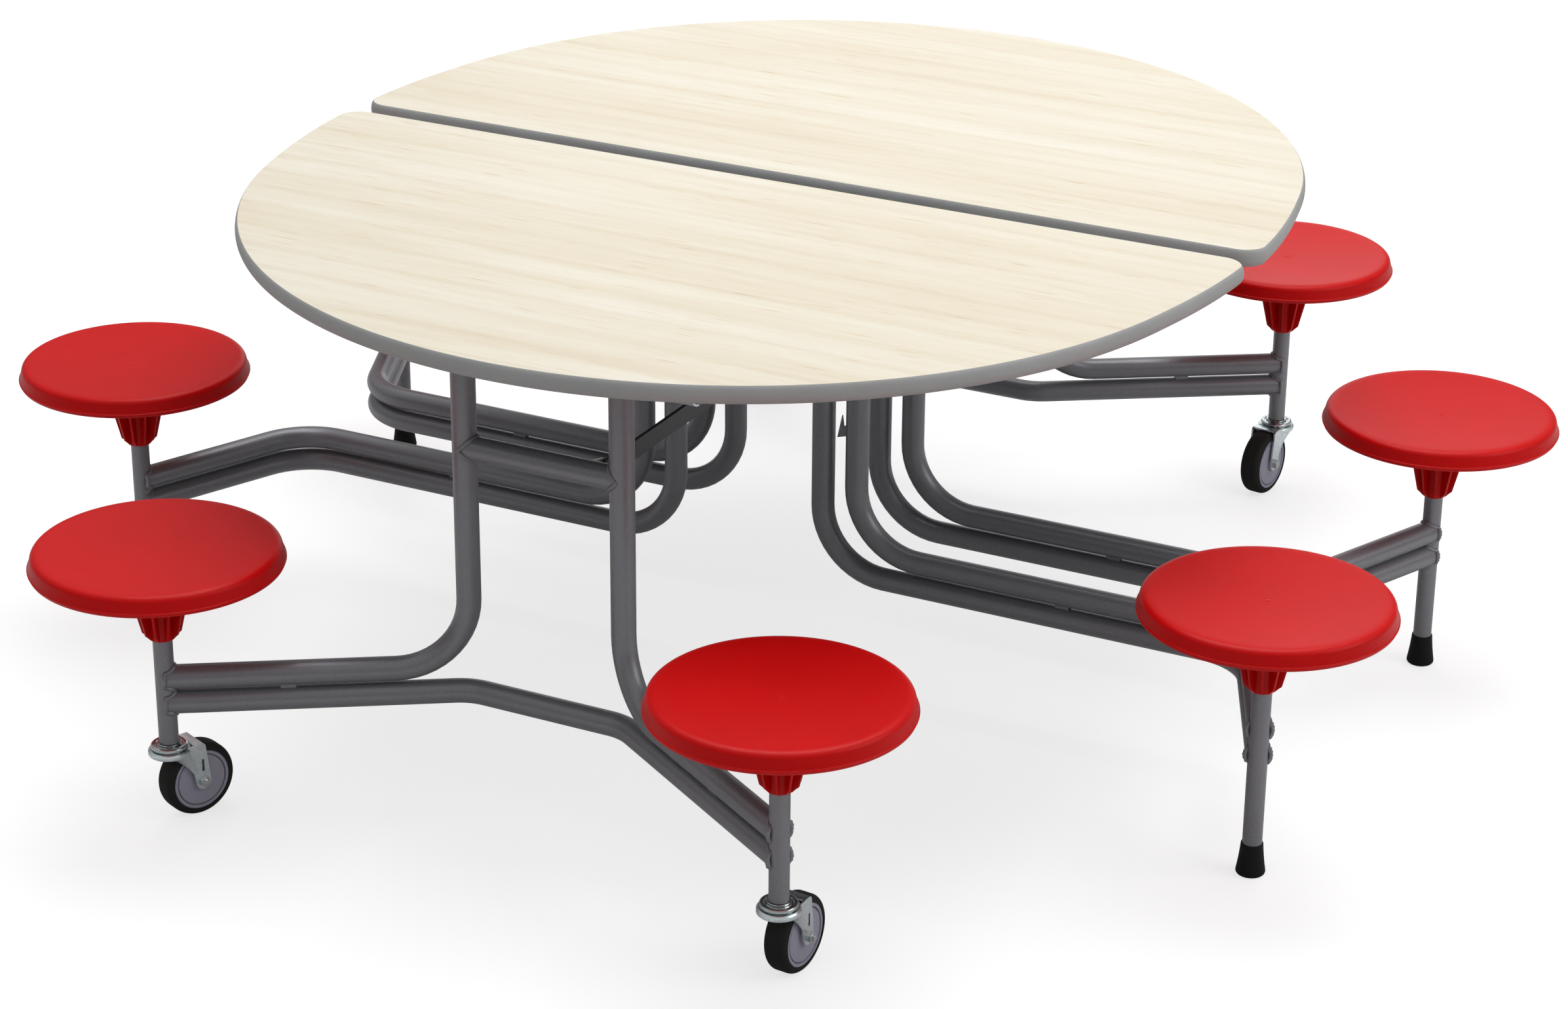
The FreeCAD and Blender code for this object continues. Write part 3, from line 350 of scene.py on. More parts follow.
class Shader:
    """A material's nodes, with short ways to add and join them."""

    # Colour sockets of a blend
    FIRST = 6
    SECOND = 7
    BLENDED = 2

    def __init__(self, name: str) -> None:
        """Make an empty material with a principled surface."""
        self.material = bpy.data.materials.new(name)
        self.material.use_nodes = True
        self.nodes = self.material.node_tree.nodes
        self.links = self.material.node_tree.links
        self.nodes.clear()
        self.surface = self.add("ShaderNodeBsdfPrincipled")
        self.join(self.surface, "BSDF", self.add("ShaderNodeOutputMaterial"), "Surface")

    def add(self, kind: str, **inputs: object) -> Node:
        """Add a node and set its sockets by name, with underscores for spaces."""
        return self.fill(self.nodes.new(kind), **inputs)

    @staticmethod
    def fill(node: Node, **inputs: object) -> Node:
        """Set a node's sockets by name and return the node."""
        for key, value in inputs.items():
            node.inputs[key.replace("_", " ")].default_value = value
        return node

    def join(self, source: Node, out: str, target: Node, into: str) -> None:
        """Link one node's output to another's input."""
        self.links.new(source.outputs[out], target.inputs[into])

    def place(self, scale: Triple) -> Node:
        """Add Object coordinates, scaled along each axis."""
        mapping = self.add("ShaderNodeMapping", Scale=scale)
        self.join(self.add("ShaderNodeTexCoord"), "Object", mapping, "Vector")
        return mapping

    def noise(self, noise: Noise) -> Node:
        """Add a noise pattern."""
        texture = self.add("ShaderNodeTexNoise", Scale=1.0, Detail=noise.detail)
        self.fill(texture, Roughness=noise.rough, Distortion=noise.twist)
        self.join(self.place(noise.per_metre), "Vector", texture, "Vector")
        return texture

    def ramp(self, source: Node, *stops: tuple[float, Triple]) -> Node:
        """Add a colour ramp on a pattern, with stops of position and linear colour."""
        ramp = self.add("ShaderNodeValToRGB")
        elements = ramp.color_ramp.elements
        while len(elements) < len(stops):
            elements.new(0.5)
        for element, (position, colour) in zip(elements, stops):
            element.position = position
            element.color = (*colour, 1.0)
        self.join(source, "Fac", ramp, "Fac")
        return ramp

    def mix(self, kind: str, factor: float, first: Node | Triple, second: Node) -> Node:
        """Blend two colours: a node's or a plain one, and a node's."""
        mix = self.add("ShaderNodeMix")
        mix.data_type = "RGBA"
        mix.blend_type = kind
        mix.inputs["Factor"].default_value = factor
        if isinstance(first, tuple):
            mix.inputs[self.FIRST].default_value = (*first, 1.0)
        else:
            self.links.new(self.colour_of(first), mix.inputs[self.FIRST])
        self.links.new(self.colour_of(second), mix.inputs[self.SECOND])
        return mix

    def colour_of(self, node: Node) -> bpy.types.NodeSocket:
        """Return the colour output of a ramp or a blend."""
        return node.outputs[self.BLENDED] if node.bl_idname == "ShaderNodeMix" else node.outputs["Color"]

    def colour_from(self, node: Node) -> None:
        """Feed the base colour from a ramp or a blend."""
        self.links.new(self.colour_of(node), self.surface.inputs["Base Color"])

    def relief(self, source: Node, rough: Pair, strength: float, height: float) -> None:
        """Feed the roughness and the bump from one pattern.

        Args:
            source: The pattern.
            rough: The roughness at the pattern's low and high ends.
            strength: How strong the bump is.
            height: How high the bump is.
        """
        spread = self.add("ShaderNodeMapRange", To_Min=rough[0], To_Max=rough[1])
        self.join(source, "Fac", spread, "Value")
        self.join(spread, "Result", self.surface, "Roughness")
        bump = self.add("ShaderNodeBump", Strength=strength, Distance=height)
        self.join(source, "Fac", bump, "Height")
        self.join(bump, "Normal", self.surface, "Normal")


@dataclass(frozen=True)
class MapleLaminate:
    """Pale maple-print laminate: long soft bands and fine pores along the split, over a dark backer sheet."""

    backer_top: float
    backer: Triple = (0.03, 0.027, 0.025)
    light: Triple = (0.725, 0.685, 0.595)
    middle: Triple = (0.705, 0.66, 0.55)
    dark: Triple = (0.675, 0.61, 0.49)
    streak: Triple = (0.92, 0.885, 0.83)
    line: Triple = (0.90, 0.85, 0.78)
    pore: Triple = (0.90, 0.865, 0.81)
    fleck: Triple = (0.86, 0.745, 0.6)
    lines_per_metre: Triple = (0.45, 5.0, 1.0)
    bands: Noise = Noise((0.8, 9.0, 1.0), 4.0, 0.6, 0.8)
    streaks: Noise = Noise((2.4, 62.0, 1.0), 5.0, 0.62)
    pores: Noise = Noise((14.0, 520.0, 1.0))
    flecks: Noise = Noise((15.0, 170.0, 1.0), 1.0)
    rough: Pair = (0.36, 0.5)
    bump: Pair = (0.12, 0.2 * MM)
    specular: float = 0.34

    def figure(self, shader: Shader) -> Node:
        """Add the arched growth lines: distorted bands, kept only where they are thin."""
        wave = shader.add("ShaderNodeTexWave", Scale=1.0, Distortion=7.0, Detail=3.0, Detail_Scale=0.9)
        wave.bands_direction = "Y"
        shader.join(shader.place(self.lines_per_metre), "Vector", wave, "Vector")
        return shader.ramp(wave, (0.02, self.line), (0.2, WHITE))

    def over_backer(self, shader: Shader, colour: Node) -> Node:
        """Keep the print above the backer sheet's height, and the backer's own colour below it."""
        height = shader.add("ShaderNodeSeparateXYZ")
        shader.join(shader.place(WHITE), "Vector", height, "Vector")
        step = shader.add("ShaderNodeMath")
        step.operation = "GREATER_THAN"
        step.inputs[1].default_value = self.backer_top
        shader.join(height, "Z", step, "Value")
        mix = shader.mix("MIX", 0.0, self.backer, colour)
        shader.join(step, "Value", mix, "Factor")
        return mix

    def material(self) -> Material:
        """Make the laminate's material."""
        shader = Shader("maple_laminate")
        noises = (self.bands, self.streaks, self.pores, self.flecks)
        bands, streaks, pores, flecks = (shader.noise(noise) for noise in noises)
        colour = shader.ramp(bands, (0.36, self.light), (0.5, self.middle), (0.7, self.dark))
        layers = [
            (0.5, shader.ramp(streaks, (0.36, WHITE), (0.64, self.streak))),
            (0.35, self.figure(shader)),
            (0.4, shader.ramp(pores, (0.34, self.pore), (0.52, WHITE))),
            (0.7, shader.ramp(flecks, (0.66, WHITE), (0.78, self.fleck))),
        ]
        for factor, layer in layers:
            colour = shader.mix("MULTIPLY", factor, colour, layer)
        shader.colour_from(self.over_backer(shader, colour))
        shader.relief(pores, self.rough, *self.bump)
        shader.fill(shader.surface, Specular_IOR_Level=self.specular)
        return shader.material


@dataclass(frozen=True)
class EvenFinish:
    """A finish of two tones, spread by one noise, with a fine relief from another."""

    name: str
    dark: Triple
    light: Triple
    tone: Noise
    stops: Pair
    grain: Noise
    rough: Pair
    bump: Pair
    metallic: float = 0.0
    specular: float = 0.5

    def material(self) -> Material:
        """Make the finish's material."""
        shader = Shader(self.name)
        low, high = self.stops
        shader.colour_from(shader.ramp(shader.noise(self.tone), (low, self.dark), (high, self.light)))
        shader.relief(shader.noise(self.grain), self.rough, *self.bump)
        shader.fill(shader.surface, Metallic=self.metallic, Specular_IOR_Level=self.specular)
        return shader.material


def plastic(
    name: str, base: Triple, drift: float, per_metre: float, bump: float, rough: Pair, specular: float = 0.5
) -> EvenFinish:
    """Describe a moulded plastic or rubber with a fine grain and a faint drift of tone."""
    dark = tuple(channel * (1 - drift) for channel in base)
    light = tuple(min(channel * (1 + drift), 1.0) for channel in base)
    tone = Noise((9.0,) * 3, detail=3.0)
    grain = Noise((per_metre,) * 3, rough=0.6)
    return EvenFinish(
        name, dark, light, tone, stops=(0.3, 0.7), grain=grain, rough=rough,
        bump=(bump, 0.4 * MM), specular=specular,
    )


@dataclass(frozen=True)
class PowderCoat(EvenFinish):
    """Dark silver-grey powder coat with orange peel and a fine metallic fleck."""

    name: str = "powder_coat"
    dark: Triple = (0.178, 0.178, 0.194)
    light: Triple = (0.255, 0.255, 0.275)
    tone: Noise = Noise((1500.0,) * 3, 1.0)
    stops: Pair = (0.35, 0.66)
    grain: Noise = Noise((420.0,) * 3)
    rough: Pair = (0.3, 0.44)
    bump: Pair = (0.3, 0.3 * MM)
    metallic: float = 0.35


@dataclass(frozen=True)
class ZincPlate(EvenFinish):
    """Zinc plating with a faint cloud of passivation and fine draw lines."""

    name: str = "zinc_plate"
    dark: Triple = (0.66, 0.755, 0.795)
    light: Triple = (0.73, 0.79, 0.79)
    tone: Noise = Noise((60.0,) * 3, 4.0)
    stops: Pair = (0.35, 0.68)
    grain: Noise = Noise((180.0, 180.0, 1400.0))
    rough: Pair = (0.2, 0.36)
    bump: Pair = (0.05, 0.1 * MM)
    metallic: float = 1.0


class Finishes:
    """Every finish of the table, made once and kept by its material slot."""

    BACKER_SHEET = 0.8 * MM
    TURNED = ("_axle", "_castor_races")

    def __init__(self) -> None:
        """Make all the materials."""
        backer_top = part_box("front_top_board")[0][2] + self.BACKER_SHEET
        red = (0.54, 0.0006, 0.001)
        nylon = (0.32, 0.318, 0.39)
        tyre = (0.019, 0.0183, 0.0176)
        finishes = {
            "maple_laminate": MapleLaminate(backer_top),
            "grey_edging": plastic("grey_edging", (0.35, 0.355, 0.353), 0.05, 480.0, 0.6, (0.5, 0.68)),
            "red_plastic": plastic("red_plastic", red, 0.04, 1000.0, 0.3, (0.34, 0.46), 0.16),
            "powder_coat": PowderCoat(),
            "link_steel": PowderCoat("link_paint", (0.055, 0.055, 0.06), (0.085, 0.085, 0.09)),
            "zinc": ZincPlate(),
            "wheel_grey": plastic("wheel_nylon", nylon, 0.06, 700.0, 0.12, (0.42, 0.55)),
            "tyre_black": plastic("tyre_rubber", tyre, 0.15, 500.0, 0.3, (0.6, 0.8), 0.14),
            "black_rubber": plastic("foot_rubber", (0.009,) * 3, 0.12, 600.0, 0.25, (0.5, 0.7), 0.16),
        }
        self.by_slot = {slot: finish.material() for slot, finish in finishes.items()}
        bright = ZincPlate("bright_zinc", (0.5, 0.54, 0.55), (0.56, 0.58, 0.58), rough=(0.08, 0.16))
        self.bright = bright.material()

    def give(self, mesh: bpy.types.Mesh, node: str, slot: str) -> None:
        """Give a mesh its node's finish: its material slot's, or the bright zinc of turned castor pieces."""
        mesh.materials.clear()
        mesh.materials.append(self.bright if node.endswith(self.TURNED) else self.by_slot[slot])


class Workshop:
    """Knows the record's slots and bodies, and puts finished pieces in their place."""

    COPY_MERGE = 2e-6
    COPY_FLAT_DEGREES = 0.5
    COPY_SHARP_DEGREES = 32.0

    def __init__(self) -> None:
        """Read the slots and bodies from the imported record."""
        record = frame["record"]
        self.finishes = Finishes()
        self.slots = {part["node"]: part["material_slot"] for part in record["subparts"]}
        bodies = record["behaviour"]["bodies"]
        self.bodies = {node: body for body, nodes in bodies.items() for node in nodes}
        self.dressed: set[str] = set()

    def add_to(self, piece: Piece, node: str) -> None:
        """Let a piece ride with a CAD node's body and share its finish and slot."""
        slot = self.slots[node]
        self.finishes.give(piece.data, node, slot)
        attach(piece, self.bodies[node])
        LOG.info("%s rides with %s", piece.name, node)

    def stand_for(self, piece: Piece, node: str) -> None:
        """Let a piece stand for a CAD node: its finish, its body and its place in the table.

        Args:
            piece: The new piece, already in place.
            node: The node that it replaces.
        """
        self.add_to(piece, node)
        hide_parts(node)
        self.dressed.add(node)

    def softened_copy(self, node: str, bevel: float) -> None:
        """Replace a CAD node by a merged copy whose edges are slightly rounded.

        Args:
            node: The node to copy.
            bevel: Width of the rounding.
        """
        mesh = frame["nodes"][node].data.copy()
        work = bmesh.new()
        work.from_mesh(mesh)
        bmesh.ops.remove_doubles(work, verts=work.verts, dist=self.COPY_MERGE)
        flat = math.radians(self.COPY_FLAT_DEGREES)
        bmesh.ops.dissolve_limit(work, angle_limit=flat, verts=work.verts, edges=work.edges)
        work.to_mesh(mesh)
        work.free()
        shade(mesh, self.COPY_SHARP_DEGREES)
        piece = linked(f"{node}_finished", mesh)
        modifier = piece.modifiers.new("edges", "BEVEL")
        modifier.width = bevel
        modifier.segments = 2
        modifier.limit_method = "ANGLE"
        modifier.angle_limit = math.radians(self.COPY_SHARP_DEGREES)
        modifier.harden_normals = False
        self.stand_for(piece, node)

    def dress_rest(self) -> None:
        """Give every CAD node that still shows its own finish."""
        for node, slot in self.slots.items():
            if node not in self.dressed:
                self.finishes.give(frame["nodes"][node].data, node, slot)
                LOG.info("%s keeps its solid", node)


# Sub-assemblies


@dataclass
class HalfTop:
    """One half top: a laminate board in a moulded edging."""

    half: Half
    split_gap: float = 29 * MM
    corner: float = 36 * MM
    flare: float = 19 * MM
    flare_start: float = 250 * MM
    flare_end: float = 40 * MM
    flare_power: float = 1.6
    edging: float = 9 * MM
    edging_lip: float = 4 * MM
    edging_crown: float = 13 * MM
    edging_start: float = math.radians(72)
    edging_steps: tuple[int, int] = (10, 14)
    edging_sharp: float = 60.0
    arc_steps: int = 260
    corner_steps: int = 24
    line_steps: int = 40

    def __post_init__(self) -> None:
        """Read the height, thickness and arc of the front edging from its solid's box."""
        low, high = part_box("front_top_edging")
        self.height = high[2]
        self.thickness = high[2] - low[2]
        self.radius = (high[0] - low[0]) / 2
        self.arc_offset = -low[1] - self.radius

    def flared(self, points: Array, corner_x: float) -> Array:
        """Widen an outline towards the split, by a power of the share of the way from start to end."""
        share = np.clip((self.flare_start + points[:, 1]) / (self.flare_start - self.flare_end), 0, 1)
        sideways = np.clip(points[:, 0] / corner_x, -1, 1)
        shift = self.flare * share ** self.flare_power * sideways
        return points + np.stack([shift, np.zeros(len(points))], axis=-1)

    def outline(self, inset: float) -> tuple[Array, Array]:
        """Trace the half's outline: an arc, two corner arcs tangent to it, and the straight split edge.

        Args:
            inset: How far inside the outer edge the outline lies.

        Returns:
            The outline's points and outward directions, for the front half.
        """
        radius = self.radius - inset
        corner = self.corner - inset
        edge_y = -self.split_gap / 2 - inset
        rise = edge_y - corner + self.arc_offset
        corner_x = math.sqrt((radius - corner) ** 2 - rise ** 2)
        tangent = math.degrees(math.atan2(rise, corner_x))
        right = arc_points([corner_x, edge_y - corner], corner, 90.0, tangent, self.corner_steps)
        main = arc_points([0.0, -self.arc_offset], radius, tangent, -180.0 - tangent, self.arc_steps)
        left = arc_points([-corner_x, edge_y - corner], corner, 180.0 - tangent, 90.0, self.corner_steps)
        across = np.linspace(-corner_x, corner_x, self.line_steps)[1:-1]
        line = np.stack([across, np.full(len(across), edge_y)], axis=-1)
        points = self.flared(np.concatenate([right, main[1:], left[1:], line]), corner_x)
        ahead = unit(np.roll(points, -1, axis=0) - points)
        along = unit(ahead + np.roll(ahead, 1, axis=0))
        return points, np.stack([-along[:, 1], along[:, 0]], axis=-1)

    def placed(self, flat: Array, heights: Array) -> Array:
        """Turn front-half points to this half and give them their heights."""
        return np.concatenate([flat * -self.half.value, heights[..., None]], axis=-1)

    def board(self) -> Piece:
        """Make the board: its top reaches the edging's lip, and its sides slope in to the edging's root."""
        loops = []
        for inset, height in ((self.edging_lip, self.height), (self.edging, self.height - self.thickness)):
            points, _ = self.outline(inset)
            loops.append(self.placed(points, np.full(len(points), height)))
        shell = Shell().grid(np.stack(loops)).polygon(loops[0]).polygon(loops[1])
        return shell.build(f"{self.half}_board")

    def band(self) -> Piece:
        """Make the edging: part of an ellipse above its crown and a deep quarter below, carried round."""
        points, ways = self.outline(self.edging)
        above = np.linspace(self.edging_start, 0, self.edging_steps[0])
        below = np.radians(np.linspace(0, 90, self.edging_steps[1]))[1:]
        lip = self.edging_lip / (1 - math.cos(self.edging_start))
        crown = self.edging_crown / math.sin(self.edging_start)
        drop = self.thickness - self.edging_crown
        inset = np.concatenate([lip * (1 - np.cos(above)), self.edging * (1 - np.cos(below))])
        rise = np.concatenate([crown * np.sin(above), -drop * np.sin(below)])
        flat = points[:, None, :] + ways[:, None, :] * (self.edging - inset)[None, :, None]
        heights = np.broadcast_to(self.height - self.edging_crown + rise, flat.shape[:2])
        shell = Shell().grid(self.placed(flat, heights), wrap_rows=True)
        return shell.build(f"{self.half}_edging", self.edging_sharp)

    def build(self, shop: Workshop) -> None:
        """Make and dress the half top."""
        shop.stand_for(self.board(), f"{self.half}_top_board")
        shop.stand_for(self.band(), f"{self.half}_top_edging")


@dataclass
class Seat:
    """A dished round seat with a ribbed hub that takes its post."""

    node: str
    lip_reach: float = 4 * MM
    depth: float = 25 * MM
    lip_height: float = 5.5 * MM
    lip_undercut: float = 1.8 * MM
    lip_edge: float = 0.4 * MM
    rim_round: float = 9 * MM
    rim_start: float = 1.35
    dish: float = 6 * MM
    wall: float = 4 * MM
    pip_radius: float = 3.2 * MM
    pip_height: float = 0.5 * MM
    ring_radius: float = 9.5 * MM
    ring_height: float = 0.25 * MM
    ring_width: float = 1 * MM
    fine_share: float = 1.4
    fine_steps: int = 28
    dish_steps: int = 22
    under_steps: int = 12
    hub_length: float = 102 * MM
    hub_radius: float = 16.7 * MM
    hub_edge: float = 1 * MM
    socket_radius: float = 12.9 * MM
    rib_top: float = 51 * MM
    rib_foot: float = 25 * MM
    rib_step: float = 9 * MM
    rib_sink: float = 1.5 * MM
    rib_lift: float = 0.5 * MM
    rib_thickness: float = 3.2 * MM
    ribs: int = 10
    segments: int = 144
    hub_segments: int = 48

    def __post_init__(self) -> None:
        """Read the height, radius and place of the seat from its solid's box."""
        low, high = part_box(self.node)
        self.lip_radius = (high[0] - low[0]) / 2
        self.rim_radius = self.lip_radius - self.lip_reach
        self.flat_end = self.rim_radius - self.rim_start * self.rim_round
        self.centre = np.array([*box_centre(self.node)[:2], high[2]])
        self.under = -self.dish - self.wall / 2
        self.foot = -self.depth - self.hub_length

    def sag(self, radius: Array) -> Array:
        """How deep the dish is at a radius: a parabola."""
        return -self.dish * (1 - (radius / self.flat_end) ** 2)

    def profile(self) -> Array:
        """Trace the seat from the middle of its top, over the rim and lip, to the middle of its underside.

        The top is a parabola with a small gate pip and a faint ring round it, a bell curve in height.

        Returns:
            Radius and height of each row, from the seat's level.
        """
        fine_end = self.fine_share * self.ring_radius
        fine = np.linspace(0, fine_end, self.fine_steps)
        radius = np.concatenate([fine, np.linspace(fine_end, self.flat_end, self.dish_steps)[1:]])
        pip = self.pip_height * np.clip(1.5 - radius / self.pip_radius, 0, 1)
        ring = self.ring_height * np.exp(-((radius - self.ring_radius) / self.ring_width) ** 2)
        top = np.stack([radius, self.sag(radius) + pip + ring], axis=-1)
        rim = arc_points([self.rim_radius - self.rim_round, -self.rim_round], self.rim_round, 80, 6, 10)
        lip_top = -self.depth + self.lip_height
        undercut = self.lip_radius - self.lip_undercut
        lip = np.array([[-1.3, 0.5], [-0.4, -0.2], [0.0, -0.7], [0.0, -1.2]]) * MM
        lip += [self.lip_radius, lip_top]
        inside = np.array([
            [undercut, -self.depth + self.lip_edge],
            [undercut - self.lip_edge, -self.depth],
            [self.lip_radius - self.wall, -self.depth],
            [self.rim_radius - self.wall, -self.rim_round],
        ])
        inner = np.linspace(self.flat_end - self.wall, 0, self.under_steps)
        under = np.stack([inner, self.sag(inner) - self.wall], axis=-1)
        return np.concatenate([top, rim, lip, inside, under])

    def sleeve(self) -> Array:
        """Trace the hub's sleeve, from under the seat to its foot and up the socket."""
        return np.array([
            [self.hub_radius, self.under], [self.hub_radius, self.foot + self.hub_edge],
            [self.hub_radius - self.hub_edge, self.foot],
            [self.socket_radius, self.foot], [self.socket_radius, self.under],
        ])

    def rib(self) -> Array:
        """Trace one rib of the hub, as radius and height."""
        root = self.hub_radius - self.rib_sink
        end = self.foot + self.rib_lift
        return np.array([
            [root, self.under], [self.rib_top, self.under],
            [self.rib_foot, self.foot + self.rib_step],
            [self.rib_foot - self.rib_step / 3, self.foot + 0.7 * self.rib_step],
            [self.hub_radius, end], [root, end],
        ])

    def build(self, shop: Workshop) -> None:
        """Make and dress the seat with its hub."""
        shell = Shell().grid(lathe(self.profile(), self.segments, self.centre))
        shell.grid(lathe(self.sleeve(), self.hub_segments, self.centre), wrap_rows=True)
        radius, height = self.rib().T[:, :, None]
        for angle in np.linspace(0, 2 * np.pi, self.ribs, endpoint=False):
            way = np.array([math.cos(angle), math.sin(angle), 0.0])
            across = np.cross(Z_AXIS, way) * self.rib_thickness
            loop = self.centre + radius * way + height * Z_AXIS
            shell.plate(loop - across / 2, across)
        shop.stand_for(shell.build(f"{self.node}_moulding"), self.node)


@dataclass
class Tubework:
    """The bent tubes and posts of the three frames."""

    tube_radius: float = 16 * MM
    post_radius: float = 12.7 * MM
    pipe_edge: float = 0.6 * MM
    bend: float = 95 * MM
    corner_bend: float = 70 * MM
    outer_x: float = 113 * MM
    centre_y: float = 90.5 * MM
    inner_upright: float = 115 * MM
    outer_upright: float = 166 * MM
    corner_x: float = 740 * MM
    castor_stool: Pair = (440 * MM, 859 * MM)
    foot_stool: Pair = (849 * MM, 345 * MM)
    spacer_length: float = 20 * MM
    spacer_thickness: float = 10 * MM
    spacer_sink: float = 0.5 * MM
    spacer_steps: int = 9
    outer_spacer_share: float = 0.6
    centre_spacer_share: float = 0.45
    sides: int = 48
    bead: WeldBead = field(default_factory=WeldBead)
    bead_sharp: float = 80.0

    def __post_init__(self) -> None:
        """Read the tubes' levels from the boxes of the solids, and shape the bars that tubes meet."""
        self.lower_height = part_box("front_lower_tube")[0][2] + self.tube_radius
        self.upper_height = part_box("front_upper_tubes")[0][2] + self.tube_radius
        self.cross_height = box_centre("front_cross_tube")[2]
        _, pivot_y, self.pivot_height = box_centre("front_pivot_tube")
        self.outer_y = -pivot_y
        self.castor_post_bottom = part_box("front_posts")[0][2]
        self.foot_post_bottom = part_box("centre_posts")[0][2]
        self.post_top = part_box("front_posts")[1][2]
        self.post = Cope(Z_AXIS, self.post_radius)
        self.pivot = Cope(X_AXIS, self.tube_radius)
        self.upright = Cope(Z_AXIS, self.tube_radius)

    def tube(self, shell: Shell, beads: Shell, path: BentPath, start: Cope, end: Cope) -> None:
        """Add one tube to a shell, and a weld bead at each coped end to another."""
        points = tube_grid(path, self.tube_radius, self.sides, start, end)
        shell.grid(points)
        stations = path.stations()
        for tip, inner in ((0, 1), (-1, -2)):
            beads.grid(self.bead.grid(points[tip], stations[inner], stations[tip].sum()), wrap_rows=True)

    def pipe(self, shell: Shell, start: Array, end: Array, radius: float) -> None:
        """Add a straight tube with closed, slightly rounded ends."""
        length = float(np.linalg.norm(end - start))
        edge = self.pipe_edge
        profile = np.array([
            [0.0, 0.0], [radius - edge, 0.0], [radius, edge],
            [radius, length - edge], [radius - edge, length], [0.0, length],
        ])
        shell.grid(lathe(profile, self.sides, start, end - start))

    def stool_post(self, shell: Shell, x: float, y: float, bottom: float) -> None:
        """Add a stool's post from a height up to its seat."""
        self.pipe(shell, np.array([x, y, bottom]), np.array([x, y, self.post_top]), self.post_radius)

    def pivot_pipe(self, shell: Shell, node: str, y: float) -> None:
        """Add a pivot tube as long as its solid's box."""
        start, end = (np.array([corner[0], y, self.pivot_height]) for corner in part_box(node))
        self.pipe(shell, start, end, self.tube_radius)

    def spacer(self, shell: Shell, start: Array, end: Array, share: float) -> None:
        """Add the tab between twin tubes: two hollow arcs that fit the tubes, carried along the run.

        Args:
            shell: The shell that takes the tab.
            start: Where the straight run begins, in plan.
            end: Where it ends, in plan.
            share: How far along the run the tab's middle lies.
        """
        along = unit(end - start)
        across = np.array([-along[1], along[0]])
        offset = np.linspace(-0.5, 0.5, self.spacer_steps) * self.spacer_thickness
        reach = np.sqrt(self.tube_radius ** 2 - offset ** 2) - self.spacer_sink
        offsets = np.concatenate([offset, offset[::-1]])
        heights = np.concatenate([self.lower_height + reach, self.upper_height - reach[::-1]])
        first = start + (end - start) * share - along * self.spacer_length / 2
        loop = np.concatenate([first + offsets[:, None] * across, heights[:, None]], axis=-1)
        shell.plate(loop, np.array([*(along * self.spacer_length), 0.0]))

    def outer_frame(self, half: Half, shop: Workshop) -> None:
        """Make one outer frame: two bent uprights, the lower tube, cross tube, pivot tube and posts."""
        stool_x, stool_y = self.castor_stool
        stool_y *= half.value
        y = half.value * self.outer_y
        names = ("upper_tubes", "lower_tube", "cross_tube", "posts", "pivot_tube")
        upper, lower, cross, posts, pivot = shells = [Shell() for _ in names]
        beads = Shell()
        ends = [np.array([side.value * stool_x, stool_y, self.lower_height]) for side in Side]
        corners = [np.array([side.value * self.outer_x, y, self.lower_height]) for side in Side]
        for corner, stool in zip(corners, ends):
            points = np.array([corner, corner, stool])
            points[:, 2] = self.pivot_height, self.upper_height, self.upper_height
            self.tube(upper, beads, BentPath(points, [self.bend]), self.pivot, self.post)
            self.stool_post(posts, stool[0], stool[1], self.castor_post_bottom)
        path = BentPath(np.array([ends[0], *corners, ends[1]]), [self.corner_bend] * 2)
        self.tube(lower, beads, path, self.post, self.post)
        for corner, stool in zip(corners, ends):
            self.spacer(lower, corner[:2], stool[:2], self.outer_spacer_share)
        span = np.array(corners)
        span[:, 2] = self.cross_height
        self.tube(cross, beads, BentPath(span, []), self.upright, self.upright)
        self.pivot_pipe(pivot, f"{half}_pivot_tube", y)
        pieces = ("uprights", "lower_rail", "cross_rail", "stool_posts", "pivot")
        for shell, piece, name in zip(shells, pieces, names):
            shop.stand_for(shell.build(f"{half}_{piece}"), f"{half}_{name}")
        shop.add_to(beads.build(f"{half}_weld_beads", self.bead_sharp), f"{half}_upper_tubes")

    def centre_frame(self, shop: Workshop) -> None:
        """Make the centre frame: twin bent tubes to each foot stool, posts and pivot tubes."""
        beads, posts, pivots = Shell(), Shell(), Shell()
        levels = ((self.outer_upright, self.upper_height), (self.inner_upright, self.lower_height))
        for half in Half:
            y = half.value * self.centre_y
            self.pivot_pipe(pivots, "centre_pivot_tubes", y)
            for side in Side:
                twins = Shell()
                corner_x = side.value * self.corner_x
                x, stool_y = side.value * self.foot_stool[0], half.value * self.foot_stool[1]
                for upright, height in levels:
                    foot = side.value * upright
                    top = [foot, y, self.pivot_height]
                    bends = [[foot, y, height], [corner_x, y, height]]
                    path = BentPath(np.array([top, *bends, [x, stool_y, height]]), [self.bend] * 2)
                    self.tube(twins, beads, path, self.pivot, self.post)
                run_start = np.array([side.value * (self.outer_upright + self.bend), y])
                self.spacer(twins, run_start, np.array([corner_x, y]), self.centre_spacer_share)
                self.stool_post(posts, x, stool_y, self.foot_post_bottom)
                name = f"centre_{half}_{side}"
                shop.stand_for(twins.build(f"{name}_twin_tubes"), f"{name}_tubes")
        shop.stand_for(posts.build("centre_stool_posts"), "centre_posts")
        shop.stand_for(pivots.build("centre_pivots"), "centre_pivot_tubes")
        shop.add_to(beads.build("centre_weld_beads", self.bead_sharp), "centre_posts")

    def build(self, shop: Workshop) -> None:
        """Make and dress all three frames."""
        for half in Half:
            self.outer_frame(half, shop)
        self.centre_frame(shop)


